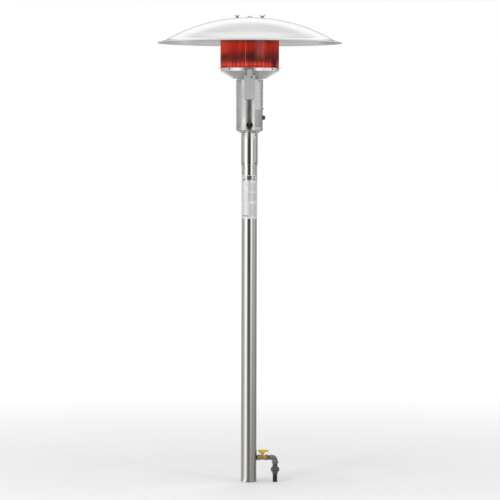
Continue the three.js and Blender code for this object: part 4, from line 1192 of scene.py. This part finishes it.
def add_handle():
    """The moulded handle: a broad hub over a cone, a short grooved lever and its screw."""
    lo, hi = box("valve_handle")
    plate_low, reach, half = lo.z + 9.5, hi.x - STEM_X, 6.3
    cone = turned([(0, lo.z), (7.4, lo.z, 0.6), (8.4, lo.z + 2, 1), (12.8, plate_low + 2, 1),
                   (12.8, hi.z - 0.6, 1.2), (0, hi.z - 0.6)], 64, 0.4)
    lever = arc((-6, 0), 13.3, 52, 308, 26) + [(9.5, -8), (16, -half)]
    lever += arc((reach - half, 0), half, -90, 90, 12) + [(16, half), (9.5, 8)]
    obj = new_object("valve_handle_detail", cone)
    join(obj, prism(lever, plate_low, hi.z))
    groove = prism([(14, -3.2, 2), (reach - 4, -3.2, 3), (reach - 4, 3.2, 3), (14, 3.2, 2)],
                   hi.z - 1.6, hi.z + 5)
    wedge = [(12, plate_low - 3), (reach + 5, plate_low - 3), (reach + 5, plate_low + 2.2), (12, plate_low)]
    cut(obj, groove, moved(prism(wedge, -9, 9), turn=(90, 0, 0)), rod(6.3, hi.z - 4.2, hi.z + 5, 40, 0),
        rod(3.8, lo.z - 5, hi.z, 24, 0))
    place(obj, (STEM_X, 0, 0))
    finish_piece(soften(obj, 0.45, 4), "yellow", "valve_handle", "valve_lever", sharp=75)
    lo, hi = box("handle_screw")
    screw = new_object("handle_screw_detail", on_stem(chamfered_prism(6, 5.7, lo.z, hi.z, 0.8)))
    finish_piece(bevel(screw, 0.2, 2, 40), "fastener", "handle_screw", "valve_lever")


ELBOW_SHOULDER = 100.5
ELBOW_BEND = 16


def bend_path(start, end, steps=14):
    """The elbow's centre line: straight in from -X, round, and straight down."""
    centre = (GAS_X - ELBOW_BEND, GAS_Z - ELBOW_BEND)
    turn = [(x, 0, z) for x, z in arc(centre, ELBOW_BEND, 90, 0, steps)]
    return [(start, 0, GAS_Z)] + turn + [(GAS_X, 0, end)]


def add_elbow():
    """A street elbow: a male thread in the valve, a cast bend and a banded mouth below."""
    lo, hi = box("elbow")
    end = lo.z
    body_r, band_r, band = 12.5, (hi.y - lo.y) / 2 - 0.1, 7.5
    obj = new_object("elbow_detail", swept(bend_path(ELBOW_SHOULDER, end + 0.5), body_r, 48))
    collar = turned([(0, 0), (band_r, 0, 1.4), (band_r, band, 2.4), (body_r - 1, band + 2), (0, band + 2)],
                    64, 0.5, steps=5)
    root = turned([(0, -6), (PIPE_R, -6), (PIPE_R, 0, 1.5), (body_r, 2.5), (0, 2.5)], 64, 0.5)
    join(obj, moved(collar, (GAS_X, 0, end)), along_x(root, x=ELBOW_SHOULDER))
    cut(obj, swept(bend_path(ELBOW_SHOULDER - 9, end - 3), BORE, 32),
        on_riser(rod(SOCKET, end - 3, end + 11.5, 48, 0)))
    soften(obj, 0.5, 5)
    male = new_object("elbow_thread", along_x(pipe_thread(lo.x, ELBOW_SHOULDER - 4.5)))
    finish_piece(male, "pipe", slot="malleable_iron", sharp=60)
    finish_piece(obj, "cast", "elbow", sharp=75)


def add_union():
    """A three-piece union: an upper tail with a male end, an eight-sided nut and a lower tail."""
    lo, hi = box("union_upper")
    nut_low, nut_top = low("union_nut").z, high("union_nut").z
    thread_r, collar_r, tail_r = (hi.y - lo.y) / 2, 12.7, 12.1
    collar_top = nut_top + 9.5
    tail = turned([(BORE, lo.z), (thread_r, lo.z, 0.5), (thread_r, nut_top + 0.6, 0.8),
                   (collar_r, nut_top + 1.8, 0.8), (collar_r, collar_top, 1.6),
                   (PIPE_R + 0.2, collar_top + 1.8), (BORE, collar_top + 1.8)], 64, 0.3, True, 5)
    piece("union_upper", on_riser(together(tail, pipe_thread(collar_top + 1.8, hi.z))), "iron", sharp=60)
    corner, end_r, chamfer = 21.3, 16.4, 5
    nut = new_object("union_nut_detail", on_riser(prism(polygon(8, corner, math.pi / 8), nut_low, nut_top)))
    limit = turned([(0, nut_low), (end_r, nut_low, 1), (corner + 0.1, nut_low + chamfer, 2),
                    (corner + 0.1, nut_top - chamfer, 2), (end_r, nut_top, 1), (0, nut_top)], 96, 0.5)
    common(nut, on_riser(limit))
    cut(nut, on_riser(rod(tail_r + 0.4, nut_low - 2, nut_low + 5, 64, 0)),
        on_riser(rod(thread_r + 0.4, nut_low + 3.6, nut_top + 2, 64, 0)))
    finish_piece(soften(nut, 0.4, 2), "iron", "union_nut", sharp=75)
    lo, hi = box("union_lower")
    outline = [(SOCKET, lo.z), (tail_r, lo.z, 0.5), (collar_r + 0.5, nut_low - 5, 2),
               (tail_r, nut_low - 1, 1), (tail_r, nut_low + 4), (thread_r, nut_low + 4),
               (thread_r, nut_low + 9), (tail_r, hi.z), (BORE, hi.z), (BORE, nut_low), (SOCKET, nut_low)]
    piece("union_lower", on_riser(turned(outline, 64, 0.3, True, 5)), "iron", sharp=50)


# ---------- studio

# Metres, degrees and the lens in millimetres.
CAMERA_DISTANCE = 12.66
CAMERA_HEIGHT = 1.609
AIM_HEIGHT = 1.0913
CAMERA_SIDE = 0.0036
LENS = 194.5
ROLL = 0.15
RING_RADIUS = 0.5
RING_TOP = 2.045
RING_REACH = 174
RING_PEAK = 1.5


def add_floor():
    """A wide pale floor that fades to the backdrop's white well away from the heater."""
    bpy.ops.mesh.primitive_circle_add(vertices=96, radius=60, fill_type="NGON", location=(0, 0, 0))
    floor = bpy.context.object
    floor.name = "floor"
    look = Look("floor_paint", (0.84, 0.84, 0.84), 0.85)
    away = look.between(look.radius(), 1.0, 5.0)
    look.link(away, "Emission Strength")
    look.set("Emission Color", (1, 1, 1, 1))
    paint = look.between(look.noise(2), 0.3, 0.7, 0.835, 0.845)
    grey = look.times(paint, look.between(away, 0, 1, 1.0, 0.0))
    look.link(look.point(grey, grey, grey), "Base Color")
    floor.data.materials.append(look.material)


def add_ring():
    """A ring round the heater, seen only in its reflections; its greys are the stripes on the post."""
    stripes = (
        (-180, 0.50, 0.56, 0.45),
        (-150, 0.50, 0.55, 0.50),
        (-118, 0.42, 0.45, 0.55),
        (-100, 0.42, 0.46, 0.62),
        (-84, 0.48, 0.55, 0.66),
        (-72, 0.60, 0.68, 0.72),
        (-63, 0.90, 1.20, 0.82),
        (-57, 1.15, 1.50, 1.05),
        (-40, 1.10, 1.50, 1.18),
        (-33, 0.85, 1.15, 0.90),
        (-26, 0.50, 0.45, 0.65),
        (-18, 0.24, 0.10, 0.32),
        (-8, 0.17, 0.04, 0.06),
        (6, 0.17, 0.04, 0.06),
        (13, 0.24, 0.12, 0.25),
        (19, 0.32, 0.50, 0.60),
        (25, 0.38, 1.45, 1.15),
        (36, 0.38, 1.40, 1.15),
        (43, 0.32, 0.80, 0.80),
        (54, 0.28, 0.42, 0.85),
        (66, 0.33, 0.58, 0.95),
        (88, 0.28, 0.60, 0.90),
        (102, 0.20, 0.34, 0.70),
        (116, 0.20, 0.28, 0.40),
        (134, 0.42, 0.58, 0.42),
        (180, 0.50, 0.56, 0.42),
    )
    profile = ((0.04, 0.001), (RING_RADIUS, 0.004), (RING_RADIUS, 1.66), (RING_RADIUS, RING_TOP))
    steps = 120
    verts, faces = [], []
    for step in range(steps + 1):
        angle = -RING_REACH + 2 * RING_REACH * step / steps
        verts += [tuple(polar(angle, radius, height)) for radius, height in profile]
    for step in range(steps):
        open_behind = abs(step + 0.5 - steps / 2) > steps * 0.41
        for level in range(len(profile) - (2 if open_behind else 1)):
            a = len(profile) * step + level
            faces.append((a, a + len(profile), a + len(profile) + 1, a + 1))
    mesh = bpy.data.meshes.new("reflection_ring")
    mesh.from_pydata(verts, [], faces)
    obj = linked("reflection_ring", mesh)
    look = Look("reflection_ring", (0, 0, 0), 1.0, Specular_IOR_Level=0.0)
    turn = look.between(look.angle(), -math.pi, math.pi)
    foot, middle, head = [
        look.ramp(turn, *[((row[0] + 180) / 360, (row[column] / RING_PEAK,) * 3) for row in stripes])
        for column in (1, 2, 3)
    ]
    height = look.axis(2)
    rising = look.blend(foot, middle, look.between(height, 0.0, 1.45))
    look.link(look.blend(rising, head, look.between(height, 1.64, 1.67)), "Emission Color")
    look.set("Emission Strength", RING_PEAK)
    mesh.materials.append(look.material)
    obj.visible_camera = False
    obj.visible_diffuse = False
    obj.visible_shadow = False


def area_light(name, location, target, size, power):
    data = bpy.data.lights.new(name, "AREA")
    data.shape = "RECTANGLE"
    data.size, data.size_y = size
    data.energy = power
    obj = linked(name, data)
    obj.location = location
    obj.rotation_mode = "QUATERNION"
    obj.rotation_quaternion = (Vector(target) - Vector(location)).to_track_quat("-Z", "Y")
    obj.visible_camera = False
    obj.visible_glossy = False


def add_studio():
    world = bpy.data.worlds.new("studio")
    world.use_nodes = True
    tree = world.node_tree
    split = tree.nodes.new("ShaderNodeSeparateXYZ")
    tree.links.new(tree.nodes.new("ShaderNodeTexCoord").outputs["Generated"], split.inputs[0])
    sky = tree.nodes.new("ShaderNodeValToRGB")
    tree.links.new(split.outputs["Z"], sky.inputs["Fac"])
    stops = ((0.0, 1.0), (0.052, 1.0), (0.058, 0.22), (0.13, 0.30), (0.19, 0.50), (0.26, 1.0), (0.47, 1.06),
             (0.60, 0.74), (0.72, 0.72), (0.84, 0.95), (1.0, 0.95))
    fill_ramp(sky.color_ramp.elements, [(place, (grey,) * 3) for place, grey in stops])
    tree.links.new(sky.outputs["Color"], tree.nodes["Background"].inputs["Color"])
    bpy.context.scene.world = world
    area_light("key", (-2.6, -3.4, 3.4), (0, 0, 1.2), (1.6, 2.4), 60)
    area_light("fill", (3.0, -3.0, 2.2), (0, 0, 1.2), (1.2, 2.4), 30)
    bpy.context.scene.view_settings.view_transform = "Standard"
    bpy.context.scene.view_settings.look = "None"


def add_camera():
    data = bpy.data.cameras.new("camera")
    data.lens = LENS
    data.sensor_width = 36
    data.clip_start, data.clip_end = 0.1, 200
    obj = linked("camera", data)
    obj.location = (CAMERA_SIDE, -CAMERA_DISTANCE, CAMERA_HEIGHT)
    aim = Vector((CAMERA_SIDE, 0, AIM_HEIGHT))
    obj.rotation_mode = "QUATERNION"
    roll = Quaternion((0, 0, 1), math.radians(ROLL))
    obj.rotation_quaternion = (aim - obj.location).to_track_quat("-Z", "Y") @ roll
    bpy.context.scene.camera = obj


# ---------- build

add_camera()
add_studio()
add_floor()
add_ring()
dress_frame_nodes()
for build in (add_reflector, add_wing_nuts, add_studs, add_screen, add_emitter_cap, add_base_ring, add_pan,
              add_housing, add_side_panel, add_base, add_pilot_cover, add_cover_neck, add_screws, add_knob,
              add_markers, add_igniter, add_post, add_sleeve, add_labels, add_grommet, add_nipples,
              add_valve, add_handle, add_elbow, add_union):
    build()
